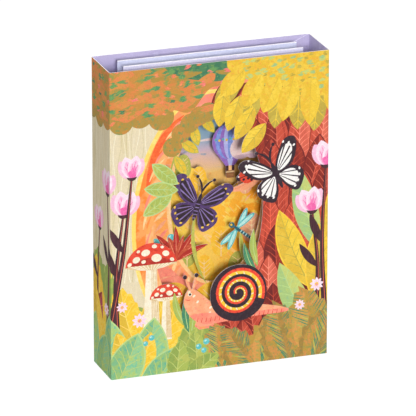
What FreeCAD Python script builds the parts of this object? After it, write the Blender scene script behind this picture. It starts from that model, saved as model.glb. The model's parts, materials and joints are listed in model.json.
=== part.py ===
import FreeCAD, Part
import math
import os

from FreeCAD import Vector

# A pop up scene card, standing open as it is displayed. One sheet of printed board is folded round
# into a shallow tube, open at the top and the bottom, and closed by a glue flap inside its rear right
# corner. Two thinner die-cut sheets stand across the tube, a third and two thirds of the way back.
# Each sheet has an ear at either side that reaches the side wall, with a tab folded back from the ear
# and glued to the wall, so the whole card can be pushed flat. The front panel and both sheets have a
# window, and cut figures reach into each window: leaves, toadstools, a snail, butterflies, a
# dragonfly, a ladybird on a branch, a balloon and hills.
# Millimetres. X is to the right, Y to the back and Z up. The origin is the middle of the base.

# Outer tube
CARD_WIDTH = 127.0
CARD_HEIGHT = 178.0
CARD_DEPTH = 31.5
COVER_BOARD = 0.4
COVER_FOLD_RADIUS = 0.65
GLUE_FLAP_WIDTH = 12.0
GLUE_FLAP_SLOPE = 5.0
GLUE_BITE = 0.03
FREE_EDGE_SETBACK = 0.3

# Inner sheets
SHEET_COUNT = 2
SCENE_BOARD = 0.35
SCENE_FOLD_RADIUS = 0.55
SCENE_INSET = 0.5
EAR_REACH = 11.1
EAR_SETBACK = 16.0
EAR_ROOT_RADIUS = 2.0
TAB_CLEARANCE = 3.0
TAB_SLOPE = 4.0

# Board left round each window
FRONT_BORDER_LEFT = 25.0
FRONT_BORDER_RIGHT = 38.6
FRONT_BORDER_BELOW = 29.0
FRONT_BORDER_ABOVE = 28.0
FRONT_WINDOW_LEAN = -4.0
ARCH_BORDER_LEFT = 38.5
ARCH_BORDER_RIGHT = 35.0
ARCH_BORDER_BELOW = 47.0
ARCH_BORDER_ABOVE = 33.0
ARCH_WINDOW_LEAN = -2.0
HILL_BORDER_LEFT = 38.5
HILL_BORDER_RIGHT = 31.5
HILL_BORDER_BELOW = 78.0
HILL_BORDER_ABOVE = 31.0

# Figures at the front window. An angle names a point on the window's rim, counter-clockwise from
# its right, and a heading is the way a leaf points.
LOBE_RADIUS = 5.5
LOBE_ANGLES = (98.0, 107.0, 117.0, 127.0, 138.0)
HANGING_LEAF_LENGTH = 21.0
HANGING_LEAF_WIDTH = 9.5
HANGING_LEAF_ROOT = 12.0
HANGING_LEAF_ANGLES = (84.0, 71.0, 58.0, 45.0)
HANGING_LEAF_HEADINGS = (262.0, 250.0, 238.0, 228.0)
SIDE_LEAF_LENGTH = 20.0
SIDE_LEAF_WIDTH = 8.5
SIDE_LEAF_ANGLES = (174.0, 164.0, 154.0)
SIDE_LEAF_HEADINGS = (32.0, 352.0, 318.0)
FRONT_BUTTERFLY_ANGLE = 18.0
FRONT_BUTTERFLY_OUTWARD = 9.0
FRONT_BUTTERFLY_WING = 17.5
FRONT_BUTTERFLY_TILT = 24.0
LARGE_CAP_ANGLE = 205.0
LARGE_CAP_OUTWARD = 3.0
LARGE_CAP_RADIUS = 15.0
SMALL_CAP_ANGLE = 229.0
SMALL_CAP_OUTWARD = 1.0
SMALL_CAP_RADIUS = 9.5
CAP_RISE = 0.85
CAP_SAG = 0.18
STEM_SHARE = 0.24
STEM_FOOT = 20.0
SHELL_ANGLE = 311.0
SHELL_RADIUS = 16.5
SNAIL_FOOT_DROP = 14.0
SNAIL_NECK = 11.0
SNAIL_HEAD = 4.0
FEELER_LENGTH = 11.0
FEELER_WIDTH = 1.5
BLADE_LENGTH = 22.0
BLADE_WIDTH = 4.0
BLADE_ANGLES = (248.0, 256.0, 264.0, 332.0, 339.0)
BLADE_HEADINGS = (108.0, 92.0, 74.0, 112.0, 96.0)

# Figures at the arch window
VINE_ANGLES = (152.0, 138.0, 124.0, 110.0)
VINE_HEADINGS = (300.0, 322.0, 286.0, 306.0)
VINE_LEAF_LENGTH = 14.0
VINE_LEAF_WIDTH = 6.0
TUFT_ANGLE = 222.0
TUFT_BLADE_COUNT = 7
TUFT_LENGTH = 20.0
TUFT_WIDTH = 3.4
TUFT_SPREAD = 104.0
TUFT_HEADING = 74.0
STALK_ANGLE = 262.0
STALK_WIDTH = 2.0
STALK_BOW = 5.0
ARCH_BUTTERFLY_RISE = 44.0
ARCH_BUTTERFLY_SHIFT = -6.0
ARCH_BUTTERFLY_WING = 17.0
ARCH_BUTTERFLY_TILT = -18.0
REED_ANGLE = 309.0
REED_LENGTH = 19.0
REED_HEADING = 98.0
REED_WIDTH = 2.2
DRAGONFLY_LENGTH = 19.0
DRAGONFLY_TILT = 52.0
BRANCH_ANGLE = 14.0
BRANCH_LENGTH = 27.0
BRANCH_HEADING = 199.0
BRANCH_THICKNESS = 4.4
BRANCH_BOW = 2.5
LADYBIRD_RADIUS = 4.6

# Figures at the hill window. A crest gives a ridge's heights as shares of its rise. A tree's place is
# a share of half the window's width, and its height a share of the near hill's rise.
NEAR_HILL_RISE = 36.0
NEAR_HILL_CREST = (0.96, 1.0, 0.88, 0.62, 0.36, 0.24, 0.2)
FAR_HILL_RISE = 25.0
FAR_HILL_CREST = (0.2, 0.24, 0.34, 0.5, 0.76, 0.98, 1.0)
TREE_WIDTH = 9.0
TREE_HEIGHT = 15.0
TREE_PLACES = (-0.62, -0.3, 0.66)
TREE_RISES = (0.94, 0.72, 0.61)
BALLOON_ANGLE = 20.0
BALLOON_INWARD = 17.0
BALLOON_RADIUS = 10.5
BASKET_WIDTH = 5.4
BASKET_HEIGHT = 4.2
CLOUD_RADIUS = 6.2
CLOUD_LOBE_COUNT = 4

# The smallest gap, in square millimetres, that is cut between two figures
SMALLEST_GAP = 12.0

CUT_MARGIN = 2.0


def point(x, z):
    """A point of a drawing, which is made flat with its height along Y."""
    return Vector(x, z, 0)


def polar(start, length, heading):
    """The point at a length and heading, in degrees, from a start."""
    turn = math.radians(heading)
    return start + point(length * math.cos(turn), length * math.sin(turn))


class Window:
    """An oval window, placed by the board that is left round it."""

    def __init__(self, left, right, below, above, lean=0.0):
        self.middle = point((left - right) / 2, (below + CARD_HEIGHT - above) / 2)
        self.half_width = (CARD_WIDTH - left - right) / 2
        self.half_height = (CARD_HEIGHT - below - above) / 2
        self.lean = lean

    def rim(self, angle, outward=0.0):
        """The point at an angle of the rim, moved outward from the window's middle."""
        turn = math.radians(angle)
        local = point(self.half_width * math.cos(turn), self.half_height * math.sin(turn))
        return self.middle + placed_point(local, self.lean) + polar(point(0, 0), outward, angle)

    def face(self):
        """The window as a flat face."""
        return oval(self.middle, self.half_width, self.half_height, self.lean)

    def low(self):
        """The height of the window's lower end."""
        return self.middle.y - self.half_height


def placed_point(local, tilt):
    """A point turned about the origin."""
    turn = math.radians(tilt)
    cosine, sine = math.cos(turn), math.sin(turn)
    return point(local.x * cosine - local.y * sine, local.x * sine + local.y * cosine)


def placed(face, middle, tilt):
    """A face drawn about the origin, turned and moved to its place."""
    moved = face.copy()
    moved.rotate(point(0, 0), Vector(0, 0, 1), tilt)
    moved.translate(middle)
    return moved


def oval(middle, half_width, half_height, lean=0.0):
    """An oval face."""
    major, minor = max(half_width, half_height), min(half_width, half_height)
    face = Part.Face(Part.Wire(Part.Ellipse(point(0, 0), major, minor).toShape()))
    quarter = 90.0 if half_height > half_width else 0.0
    return placed(face, middle, lean + quarter)


def disc(middle, radius):
    """A round face."""
    return Part.Face(Part.Wire(Part.Circle(middle, Vector(0, 0, 1), radius).toShape()))


def polygon(points):
    """A face with straight sides."""
    return Part.Face(Part.makePolygon(points + points[:1]))


def crescent(start, end, left_bulge, right_bulge):
    """A face between two arcs: a leaf, or a blade where both arcs bow the same way."""
    along = end - start
    side = point(-along.y, along.x).normalize()
    middle = (start + end) * 0.5
    left = Part.Arc(start, middle + side * left_bulge, end).toShape()
    right = Part.Arc(end, middle - side * right_bulge, start).toShape()
    return Part.Face(Part.Wire([left, right]))


def leaf(root, length, width, heading, bow=0.0):
    """A pointed leaf from its root, bowed to the left by a share of its width."""
    return crescent(root, polar(root, length, heading), width * (0.5 + bow), width * (0.5 - bow))


def smooth(points):
    """A face inside a closed smooth curve through the points."""
    curve = Part.BSplineCurve()
    curve.interpolate(points, PeriodicFlag=True)
    return Part.Face(Part.Wire(curve.toShape()))


def butterfly(middle, wing, tilt):
    """Four wings, a body and two feelers. The wing size is the reach of an upper wing."""
    upper = [(0.03, 0.05), (0.16, 0.42), (0.46, 0.78), (0.8, 0.98), (1.0, 0.9), (0.95, 0.58), (0.74, 0.26), (0.4, 0.06)]
    lower = [(0.03, 0.04), (0.4, 0.07), (0.7, -0.04), (0.82, -0.34), (0.66, -0.62), (0.42, -0.78), (0.22, -0.6), (0.08, -0.26)]
    faces = [oval(point(0, 0), wing * 0.08, wing * 0.48)]
    for side in (1, -1):
        for outline in (upper, lower):
            faces.append(smooth([point(side * wing * x, wing * z) for x, z in outline]))
        tip = point(side * wing * 0.3, wing)
        faces.append(crescent(point(0, wing * 0.4), tip, side * wing * 0.12, side * wing * -0.05))
        faces.append(disc(tip, wing * 0.055))
    return [placed(face, middle, tilt) for face in faces]


def dragonfly(middle, length, tilt):
    """A long body with a round head and two pairs of narrow wings."""
    faces = [
        oval(point(0, -length * 0.12), length * 0.045, length * 0.5),
        disc(point(0, length * 0.36), length * 0.085),
    ]
    for side in (1, -1):
        for rise, lean in ((0.2, 14.0), (0.08, -16.0)):
            faces.append(oval(point(side * length * 0.33, length * rise), length * 0.34, length * 0.085, side * lean))
    return [placed(face, middle, tilt) for face in faces]


def toadstool(middle, radius):
    """A domed cap over a tapered stem that runs down to its foot."""
    left, right = middle - point(radius, 0), middle + point(radius, 0)
    dome = Part.Arc(left, middle + point(0, radius * CAP_RISE), right).toShape()
    under = Part.Arc(right, middle - point(0, radius * CAP_SAG), left).toShape()
    half_stem = point(radius * STEM_SHARE, 0)
    foot = point(middle.x, STEM_FOOT)
    stem = polygon([
        middle - half_stem * 0.8,
        foot - half_stem * 1.4,
        foot + half_stem * 1.4,
        middle + half_stem * 0.8,
    ])
    return [Part.Face(Part.Wire([dome, under])), stem]


def snail(middle):
    """A round shell on a long foot, facing left, with a raised head and two feelers."""
    sole = middle.y - SNAIL_FOOT_DROP
    head = middle - point(SHELL_RADIUS + SNAIL_NECK, -SNAIL_HEAD * 0.375)
    body = smooth([
        head - point(SNAIL_HEAD, SNAIL_HEAD * 0.125),
        head + point(0.0, SNAIL_HEAD),
        head + point(SNAIL_HEAD * 1.125, SNAIL_HEAD * 0.375),
        middle - point(SHELL_RADIUS * 0.8, SHELL_RADIUS / 3),
        middle + point(SHELL_RADIUS * 0.5, -SHELL_RADIUS * 0.485),
        point(middle.x + SHELL_RADIUS * 1.8, sole + SNAIL_HEAD * 0.15),
        point(middle.x, sole - SNAIL_HEAD * 0.25),
        point(head.x + SNAIL_HEAD * 0.5, sole + SNAIL_HEAD * 0.2),
        point(head.x - SNAIL_HEAD * 0.875, (head.y + sole) / 2 + SNAIL_HEAD * 0.25),
    ])
    faces = [disc(middle, SHELL_RADIUS), body]
    for heading in (112.0, 76.0):
        root = head + point(SNAIL_HEAD * 0.1, SNAIL_HEAD * 0.25)
        tip = polar(root, FEELER_LENGTH, heading)
        faces.append(crescent(root, tip, FEELER_WIDTH / 2, FEELER_WIDTH / 2))
        faces.append(disc(tip, FEELER_WIDTH * 0.8))
    return faces


def hill(window, rise, crest):
    """A rolling ridge across a window, from under its lower end up to the crest."""
    low = window.low()
    left = window.middle.x - window.half_width - CUT_MARGIN
    right = window.middle.x + window.half_width + CUT_MARGIN
    steps = len(crest) - 1
    tops = [point(left + (right - left) * i / steps, low + rise * share) for i, share in enumerate(crest)]
    ridge = Part.BSplineCurve()
    ridge.interpolate(tops)
    corners = [tops[-1], point(right, low - CUT_MARGIN), point(left, low - CUT_MARGIN), tops[0]]
    sides = [Part.LineSegment(a, b).toShape() for a, b in zip(corners, corners[1:])]
    return Part.Face(Part.Wire([ridge.toShape()] + sides))


def balloon(middle):
    """A round envelope that narrows to a throat, two ropes and a basket."""
    radius = BALLOON_RADIUS
    throat = middle - point(0, radius * 1.36)
    shoulder = point(radius * 0.74, -radius * 0.67)
    skirt = polygon([
        middle + point(-shoulder.x, shoulder.y),
        middle + shoulder,
        throat + point(radius * 0.26, 0),
        throat - point(radius * 0.26, 0),
    ])
    rim = throat - point(0, radius * 0.3)
    basket = polygon([
        rim - point(BASKET_WIDTH / 2, 0),
        rim + point(BASKET_WIDTH / 2, 0),
        rim + point(BASKET_WIDTH * 0.4, -BASKET_HEIGHT),
        rim - point(BASKET_WIDTH * 0.4, BASKET_HEIGHT),
    ])
    ropes = []
    for side in (1, -1):
        outer, inner = side * radius * 0.24, side * radius * 0.1
        ropes.append(polygon([
            throat + point(outer, 0.2),
            rim + point(outer, -0.2),
            rim + point(inner, -0.2),
            throat + point(inner, 0.2),
        ]))
    return [disc(middle, radius), skirt, basket] + ropes


def rim_leaves(window, angles, headings, length, width, root_share, bow=0.0):
    """Leaves that start outside a window's rim and point into it."""
    faces = []
    for angle, heading in zip(angles, headings):
        root = polar(window.rim(angle), -length * root_share, heading)
        faces.append(leaf(root, length, width, heading, bow))
    return faces


def front_figures(window):
    """The figures that reach into the front window."""
    hanging_root = HANGING_LEAF_ROOT / HANGING_LEAF_LENGTH
    faces = [disc(window.rim(angle), LOBE_RADIUS) for angle in LOBE_ANGLES]
    faces += rim_leaves(
        window, HANGING_LEAF_ANGLES, HANGING_LEAF_HEADINGS,
        HANGING_LEAF_LENGTH, HANGING_LEAF_WIDTH, hanging_root,
    )
    faces += rim_leaves(window, SIDE_LEAF_ANGLES, SIDE_LEAF_HEADINGS, SIDE_LEAF_LENGTH, SIDE_LEAF_WIDTH, 0.4)
    faces += rim_leaves(window, BLADE_ANGLES, BLADE_HEADINGS, BLADE_LENGTH, BLADE_WIDTH, 0.4, 0.4)
    faces += toadstool(window.rim(LARGE_CAP_ANGLE, LARGE_CAP_OUTWARD), LARGE_CAP_RADIUS)
    faces += toadstool(window.rim(SMALL_CAP_ANGLE, SMALL_CAP_OUTWARD), SMALL_CAP_RADIUS)
    faces += snail(window.rim(SHELL_ANGLE))
    middle = window.rim(FRONT_BUTTERFLY_ANGLE, FRONT_BUTTERFLY_OUTWARD)
    return faces + butterfly(middle, FRONT_BUTTERFLY_WING, FRONT_BUTTERFLY_TILT)


def arch_figures(window):
    """The leaves, grass, butterfly, dragonfly and ladybird in the arch window."""
    faces = rim_leaves(window, VINE_ANGLES, VINE_HEADINGS, VINE_LEAF_LENGTH, VINE_LEAF_WIDTH, 0.25)
    tuft = window.rim(TUFT_ANGLE, TUFT_WIDTH)
    for blade in range(TUFT_BLADE_COUNT):
        share = blade / (TUFT_BLADE_COUNT - 1) - 0.5
        reach = TUFT_LENGTH * (1.0 - 0.25 * (blade % 2))
        faces.append(leaf(tuft, reach, TUFT_WIDTH, TUFT_HEADING - TUFT_SPREAD * share, 0.5 * share))
    foot = window.rim(STALK_ANGLE, STALK_WIDTH)
    perch = window.rim(STALK_ANGLE) + point(ARCH_BUTTERFLY_SHIFT, ARCH_BUTTERFLY_RISE)
    faces.append(crescent(foot, perch, STALK_BOW + STALK_WIDTH / 2, STALK_WIDTH / 2 - STALK_BOW))
    faces += butterfly(perch, ARCH_BUTTERFLY_WING, ARCH_BUTTERFLY_TILT)
    reed = window.rim(REED_ANGLE, REED_WIDTH)
    tip = polar(reed, REED_LENGTH, REED_HEADING)
    faces.append(crescent(reed, tip, REED_WIDTH, REED_WIDTH / 4))
    faces += dragonfly(tip, DRAGONFLY_LENGTH, DRAGONFLY_TILT)
    knot = window.rim(BRANCH_ANGLE, BRANCH_THICKNESS)
    end = polar(knot, BRANCH_LENGTH, BRANCH_HEADING)
    faces.append(crescent(knot, end, BRANCH_THICKNESS / 2 + BRANCH_BOW, BRANCH_THICKNESS / 2 - BRANCH_BOW))
    perched = (knot + end) * 0.5 + point(0, LADYBIRD_RADIUS * 0.7)
    faces.append(disc(perched, LADYBIRD_RADIUS))
    faces.append(disc(perched - point(LADYBIRD_RADIUS * 0.95, LADYBIRD_RADIUS * 0.25), LADYBIRD_RADIUS * 0.42))
    return faces


def hill_figures(window):
    """The hills, trees, cloud and balloon in the rear sheet's window."""
    faces = [
        hill(window, NEAR_HILL_RISE, NEAR_HILL_CREST),
        hill(window, FAR_HILL_RISE, FAR_HILL_CREST),
    ]
    for place, rise in zip(TREE_PLACES, TREE_RISES):
        middle = point(window.middle.x + place * window.half_width, window.low() + rise * NEAR_HILL_RISE)
        faces.append(oval(middle, TREE_WIDTH / 2, TREE_HEIGHT / 2))
    anchor = window.rim(BALLOON_ANGLE)
    middle = anchor - point(BALLOON_INWARD, 0)
    faces += balloon(middle)
    near_side = middle.x + BALLOON_RADIUS * 0.6
    for lobe in range(CLOUD_LOBE_COUNT):
        across = near_side + (anchor.x - near_side) * lobe / (CLOUD_LOBE_COUNT - 1)
        up = anchor.y - BALLOON_RADIUS * 0.5 + CLOUD_RADIUS * 0.35 * (lobe % 2)
        faces.append(disc(point(across, up), CLOUD_RADIUS))
    return faces


def rail(corners, radius, offset):
    """The edges of one side of a folded strip, whose middle line turns a quarter at each inner corner."""
    edges = []
    last = None
    for i in range(len(corners) - 1):
        start, end = corners[i], corners[i + 1]
        along = (end - start).normalize()
        side = point(-along.y, along.x) * offset
        first = start + side + (along * radius if i > 0 else point(0, 0))
        final = end + side - (along * radius if i < len(corners) - 2 else point(0, 0))
        if last is not None:
            before = (start - corners[i - 1]).normalize()
            centre = start - before * radius + along * radius
            bow = (first - centre) + (last - centre)
            middle = centre + bow.normalize() * (first - centre).Length
            edges.append(Part.Arc(last, middle, first).toShape())
        edges.append(Part.LineSegment(first, final).toShape())
        last = final
    return edges


def folded_strip(corners, board, fold_radius):
    """The section of a folded sheet seen from above, from the line that its middle follows."""
    radius = fold_radius - board / 2
    left, right = rail(corners, radius, board / 2), rail(corners, radius, -board / 2)
    ends = [(left[0].Vertexes[0], right[0].Vertexes[0]), (left[-1].Vertexes[-1], right[-1].Vertexes[-1])]
    caps = [Part.LineSegment(a.Point, b.Point).toShape() for a, b in ends]
    return Part.Face(Part.Wire(Part.__sortEdges__(left + right + caps)))


def through(face, front, back):
    """A solid that runs through a sheet, from a flat drawing of its outline."""
    solid = face.copy()
    solid.translate(Vector(0, 0, -back))
    solid = solid.extrude(Vector(0, 0, back - front))
    solid.rotate(Vector(0, 0, 0), Vector(1, 0, 0), 90)
    return solid


def window_cutter(window, figures, front, back):
    """What is cut away for a window: its oval, less the figures that stay and any gap too small to cut."""
    cutter = through(window.face(), front, back)
    for face in figures:
        cutter = cutter.cut(through(face, front - CUT_MARGIN, back + CUT_MARGIN))
    smallest = SMALLEST_GAP * (back - front)
    return Part.makeCompound([gap for gap in cutter.Solids if gap.Volume > smallest])


def cover():
    """The printed outer sheet, folded into a tube and glued, with the front window cut in it."""
    side, face = CARD_WIDTH / 2 - COVER_BOARD / 2, CARD_DEPTH / 2 - COVER_BOARD / 2
    flap_line = face - COVER_BOARD + GLUE_BITE
    joint = point(0, -face)
    left_half = folded_strip([
        point(CARD_WIDTH / 2 - FREE_EDGE_SETBACK, face),
        point(-side, face),
        point(-side, -face),
        joint,
    ], COVER_BOARD, COVER_FOLD_RADIUS)
    right_half = folded_strip([
        joint,
        point(side, -face),
        point(side, flap_line),
        point(CARD_WIDTH / 2 - COVER_BOARD - GLUE_FLAP_WIDTH, flap_line),
    ], COVER_BOARD, COVER_FOLD_RADIUS)
    height = Vector(0, 0, CARD_HEIGHT)
    right_wall = right_half.extrude(height).cut(flap_corners())
    tube = left_half.extrude(height).fuse(right_wall).removeSplitter()
    window = Window(
        FRONT_BORDER_LEFT, FRONT_BORDER_RIGHT, FRONT_BORDER_BELOW, FRONT_BORDER_ABOVE, FRONT_WINDOW_LEAN,
    )
    front = -CARD_DEPTH / 2
    cutter = window_cutter(window, front_figures(window), front - CUT_MARGIN, front + COVER_BOARD + CUT_MARGIN)
    return tube.cut(cutter)


def flap_corners():
    """The two sloped corners that are trimmed off the glue flap."""
    free_edge = CARD_WIDTH / 2 - COVER_BOARD - GLUE_FLAP_WIDTH
    root = CARD_WIDTH / 2 - COVER_FOLD_RADIUS - COVER_BOARD
    trims = []
    for end, inward in ((0.0, 1.0), (CARD_HEIGHT, -1.0)):
        corner = polygon([
            point(free_edge - CUT_MARGIN, end - inward * CUT_MARGIN),
            point(root, end - inward * CUT_MARGIN),
            point(root, end),
            point(free_edge, end + inward * GLUE_FLAP_SLOPE),
            point(free_edge - CUT_MARGIN, end + inward * GLUE_FLAP_SLOPE),
        ])
        trims.append(through(corner, CARD_DEPTH / 2 - CUT_MARGIN, CARD_DEPTH / 2))
    return trims


def ear_reliefs(front, back):
    """The four corners cut from a sheet, which leave an ear at each side."""
    wall = CARD_WIDTH / 2 - COVER_BOARD
    root = wall - EAR_REACH
    reliefs = []
    for end, inward in ((SCENE_INSET, 1.0), (CARD_HEIGHT - SCENE_INSET, -1.0)):
        for side in (1.0, -1.0):
            corner = polygon([
                point(side * root, end - inward * CUT_MARGIN),
                point(side * (wall + CUT_MARGIN), end - inward * CUT_MARGIN),
                point(side * (wall + CUT_MARGIN), end + inward * EAR_SETBACK),
                point(side * root, end + inward * EAR_SETBACK),
            ])
            solid = through(corner, front, back)
            deep = [e for e in solid.Edges if is_relief_root(e, side * root, end + inward * EAR_SETBACK)]
            reliefs.append(solid.makeFillet(EAR_ROOT_RADIUS, deep))
    return reliefs


def is_relief_root(edge, across, up):
    """Whether an edge runs along Y through a relief's inner corner."""
    middle = edge.CenterOfMass
    return abs(middle.x - across) < 1e-6 and abs(middle.z - up) < 1e-6


def tab_corners(free):
    """The sloped corners that are trimmed off the free edge of both glue tabs, as bars across the card."""
    trims = []
    for end, inward in ((SCENE_INSET + EAR_SETBACK, 1.0), (CARD_HEIGHT - SCENE_INSET - EAR_SETBACK, -1.0)):
        outline = Part.makePolygon([
            Vector(-CARD_WIDTH / 2, free, end),
            Vector(-CARD_WIDTH / 2, free, end + inward * TAB_SLOPE),
            Vector(-CARD_WIDTH / 2, free - TAB_SLOPE, end),
            Vector(-CARD_WIDTH / 2, free, end),
        ])
        trims.append(Part.Face(outline).extrude(Vector(CARD_WIDTH, 0, 0)))
    return trims


def scene_sheet(place, window, figures):
    """A die-cut sheet across the tube, standing at its place from the front."""
    spacing = CARD_DEPTH / (SHEET_COUNT + 1)
    front = -CARD_DEPTH / 2 + place * spacing
    free = front + spacing - TAB_CLEARANCE
    line = front + SCENE_BOARD / 2
    side = CARD_WIDTH / 2 - COVER_BOARD - SCENE_BOARD / 2
    section = folded_strip([
        point(-side, free),
        point(-side, line),
        point(side, line),
        point(side, free),
    ], SCENE_BOARD, SCENE_FOLD_RADIUS)
    section.translate(Vector(0, 0, SCENE_INSET))
    sheet = section.extrude(Vector(0, 0, CARD_HEIGHT - 2 * SCENE_INSET))
    trims = ear_reliefs(front - CUT_MARGIN, free + CUT_MARGIN) + tab_corners(free)
    trims.append(window_cutter(window, figures(window), front - CUT_MARGIN, front + SCENE_BOARD + CUT_MARGIN))
    return sheet.cut(trims)


def only_solid(shape):
    """The single solid of a finished sheet."""
    assert shape.isValid(), "a sheet is not valid"
    assert len(shape.Solids) == 1, f"a sheet came out in {len(shape.Solids)} solids"
    return shape.Solids[0]


def main():
    """Writes one file for each sheet of the card."""
    os.makedirs("parts", exist_ok=True)
    arch = Window(ARCH_BORDER_LEFT, ARCH_BORDER_RIGHT, ARCH_BORDER_BELOW, ARCH_BORDER_ABOVE, ARCH_WINDOW_LEAN)
    hills = Window(HILL_BORDER_LEFT, HILL_BORDER_RIGHT, HILL_BORDER_BELOW, HILL_BORDER_ABOVE)
    sheets = {
        "folded_cover": cover(),
        "arch_sheet": scene_sheet(1, arch, arch_figures),
        "hill_sheet": scene_sheet(2, hills, hill_figures),
    }
    for name, shape in sheets.items():
        solid = only_solid(shape)
        solid.exportStep(f"parts/{name}.step")
        print(f"{name}: {solid.Volume:.1f} cubic mm, {len(solid.Faces)} faces")


main()
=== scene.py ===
"""Dresses the pop up scene card: its printed cover, its two die-cut scene sheets and its studio.

The folded board is carried over as it was built. What is printed on it is drawn here as flat shapes in
millimetres, laid one over the other, cut to the board's own outline and bent round the cover's folds.
Lengths are millimetres until a point is placed on its sheet, which is where they become metres.
"""

import json
import logging
import math
import random
from dataclasses import dataclass, field
from enum import Enum
from typing import Callable, Iterable, Optional

import bmesh
import bpy
import numpy as np
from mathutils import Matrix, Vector
from mathutils.geometry import delaunay_2d_cdt


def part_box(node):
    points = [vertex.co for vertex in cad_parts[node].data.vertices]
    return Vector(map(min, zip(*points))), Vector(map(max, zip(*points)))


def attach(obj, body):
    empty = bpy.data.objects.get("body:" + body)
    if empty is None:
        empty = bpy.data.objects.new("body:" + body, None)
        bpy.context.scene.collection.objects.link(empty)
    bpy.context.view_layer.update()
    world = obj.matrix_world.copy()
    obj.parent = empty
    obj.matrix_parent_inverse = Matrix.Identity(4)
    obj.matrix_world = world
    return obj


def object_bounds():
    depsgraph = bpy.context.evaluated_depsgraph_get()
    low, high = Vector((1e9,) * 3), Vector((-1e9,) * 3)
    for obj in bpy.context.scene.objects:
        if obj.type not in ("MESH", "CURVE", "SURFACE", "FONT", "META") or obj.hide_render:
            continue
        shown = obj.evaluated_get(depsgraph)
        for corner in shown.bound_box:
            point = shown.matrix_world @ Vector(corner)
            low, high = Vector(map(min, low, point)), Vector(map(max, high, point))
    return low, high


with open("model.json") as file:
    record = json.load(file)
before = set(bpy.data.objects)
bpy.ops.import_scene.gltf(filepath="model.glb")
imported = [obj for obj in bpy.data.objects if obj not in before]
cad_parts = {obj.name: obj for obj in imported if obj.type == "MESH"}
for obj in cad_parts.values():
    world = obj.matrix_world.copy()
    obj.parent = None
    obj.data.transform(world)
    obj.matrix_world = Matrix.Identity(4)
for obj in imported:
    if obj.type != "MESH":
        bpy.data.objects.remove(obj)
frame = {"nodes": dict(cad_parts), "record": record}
CAD_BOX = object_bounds()

MM = 0.001
BODY = "root"
LOW, HIGH = (corner / MM for corner in CAD_BOX)
WIDTH = HIGH.x - LOW.x
DEPTH = HIGH.y - LOW.y
HEIGHT = HIGH.z - LOW.z
COVER_BOARD = 0.4
FOLD_RADIUS = 0.65
INK_LIFT = 0.02
INK_SINK = 0.012
PALE_EDGE = 0.45
BLEED = 0.2
PAPER_WHITE = (1.0, 1.0, 1.0, 1.0)

log = logging.getLogger("pop_up_card")

Outline = list[Vector]
Tree = bpy.types.NodeTree
Socket = bpy.types.NodeSocket


class Axis(Enum):
    """The axis that a wash runs along."""

    ACROSS = "X"
    BACK = "Y"
    UP = "Z"


class Side(Enum):
    """The left or right side of the card, as seen from the front."""

    LEFT = -1
    RIGHT = 1


def linear(hex_colour: str, alpha: float = 1.0) -> tuple[float, float, float, float]:
    """Turns a written colour into the linear values that a shader takes.

    Args:
        hex_colour: the colour as six hexadecimal digits.
        alpha: the fourth value.

    Returns:
        Red, green, blue and alpha.
    """
    parts = [int(hex_colour[i:i + 2], 16) / 255 for i in (0, 2, 4)]
    red, green, blue = (c / 12.92 if c <= 0.04045 else ((c + 0.055) / 1.055) ** 2.4 for c in parts)
    return red, green, blue, alpha


# Flat outlines


def at(across: float, up: float) -> Vector:
    """A point of a drawing."""
    return Vector((across, up))


def polar(start: Vector, length: float, heading: float) -> Vector:
    """The point at a length and a heading, in degrees, from a start."""
    turn = math.radians(heading)
    return start + at(length * math.cos(turn), length * math.sin(turn))


def turned(outline: Outline, middle: Vector, tilt: float) -> Outline:
    """Turns an outline drawn about the origin, in degrees, and moves it to its middle."""
    cosine, sine = math.cos(math.radians(tilt)), math.sin(math.radians(tilt))
    return [middle + at(p.x * cosine - p.y * sine, p.x * sine + p.y * cosine) for p in outline]


def oval(middle: Vector, half_width: float, half_height: float, lean: float = 0.0, steps: int = 0) -> Outline:
    """An oval outline, with as many steps as its size needs.

    Args:
        middle: its middle.
        half_width: half its width.
        half_height: half its height.
        lean: its turn, in degrees.
        steps: how many corners it has, where its size doesn't tell.

    Returns:
        The outline.
    """
    count = steps or max(14, min(96, int(7 * math.sqrt(max(half_width, half_height) * 2))))
    angles = [2 * math.pi * i / count for i in range(count)]
    return turned([at(half_width * math.cos(a), half_height * math.sin(a)) for a in angles], middle, lean)


def disc(middle: Vector, radius: float) -> Outline:
    """A round outline."""
    return oval(middle, radius, radius)


def box(left: float, right: float, low: float, high: float) -> Outline:
    """An upright rectangle."""
    return [at(left, low), at(right, low), at(right, high), at(left, high)]


def arc(start: Vector, middle: Vector, end: Vector, steps: int = 12) -> Outline:
    """Points along the circular arc through three points, without the last one.

    Args:
        start: where it starts.
        middle: the point halfway along it.
        end: where it ends.
        steps: how many pieces it is drawn in.

    Returns:
        The points.
    """
    chord = end - start
    half = chord.length / 2
    normal = at(-chord.y, chord.x).normalized()
    bulge = (middle - (start + end) / 2).dot(normal)
    if abs(bulge) < 1e-6:
        return [start.lerp(end, i / steps) for i in range(steps)]
    radius = (half * half + bulge * bulge) / (2 * bulge)
    centre = (start + end) / 2 + normal * (bulge - radius)
    first = math.atan2(start.y - centre.y, start.x - centre.x)
    last = math.atan2(end.y - centre.y, end.x - centre.x)
    sweep = last - first
    if bulge > 0:
        sweep -= 2 * math.pi * math.ceil(sweep / (2 * math.pi))
    else:
        sweep += 2 * math.pi * math.ceil(-sweep / (2 * math.pi))
    size = abs(radius)
    return [centre + at(math.cos(first + sweep * i / steps), math.sin(first + sweep * i / steps)) * size
            for i in range(steps)]


def crescent(start: Vector, end: Vector, left_bulge: float, right_bulge: float) -> Outline:
    """The outline between two arcs: a leaf, or a blade where both arcs bow the same way.

    Args:
        start: one tip.
        end: the other tip.
        left_bulge: how far the left arc stands out from the line between the tips.
        right_bulge: how far the right arc does.

    Returns:
        The outline.
    """
    along = end - start
    side = at(-along.y, along.x).normalized()
    middle = (start + end) / 2
    there = arc(start, middle + side * left_bulge, end)
    back = arc(end, middle - side * right_bulge, start)
    return there + back


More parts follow.
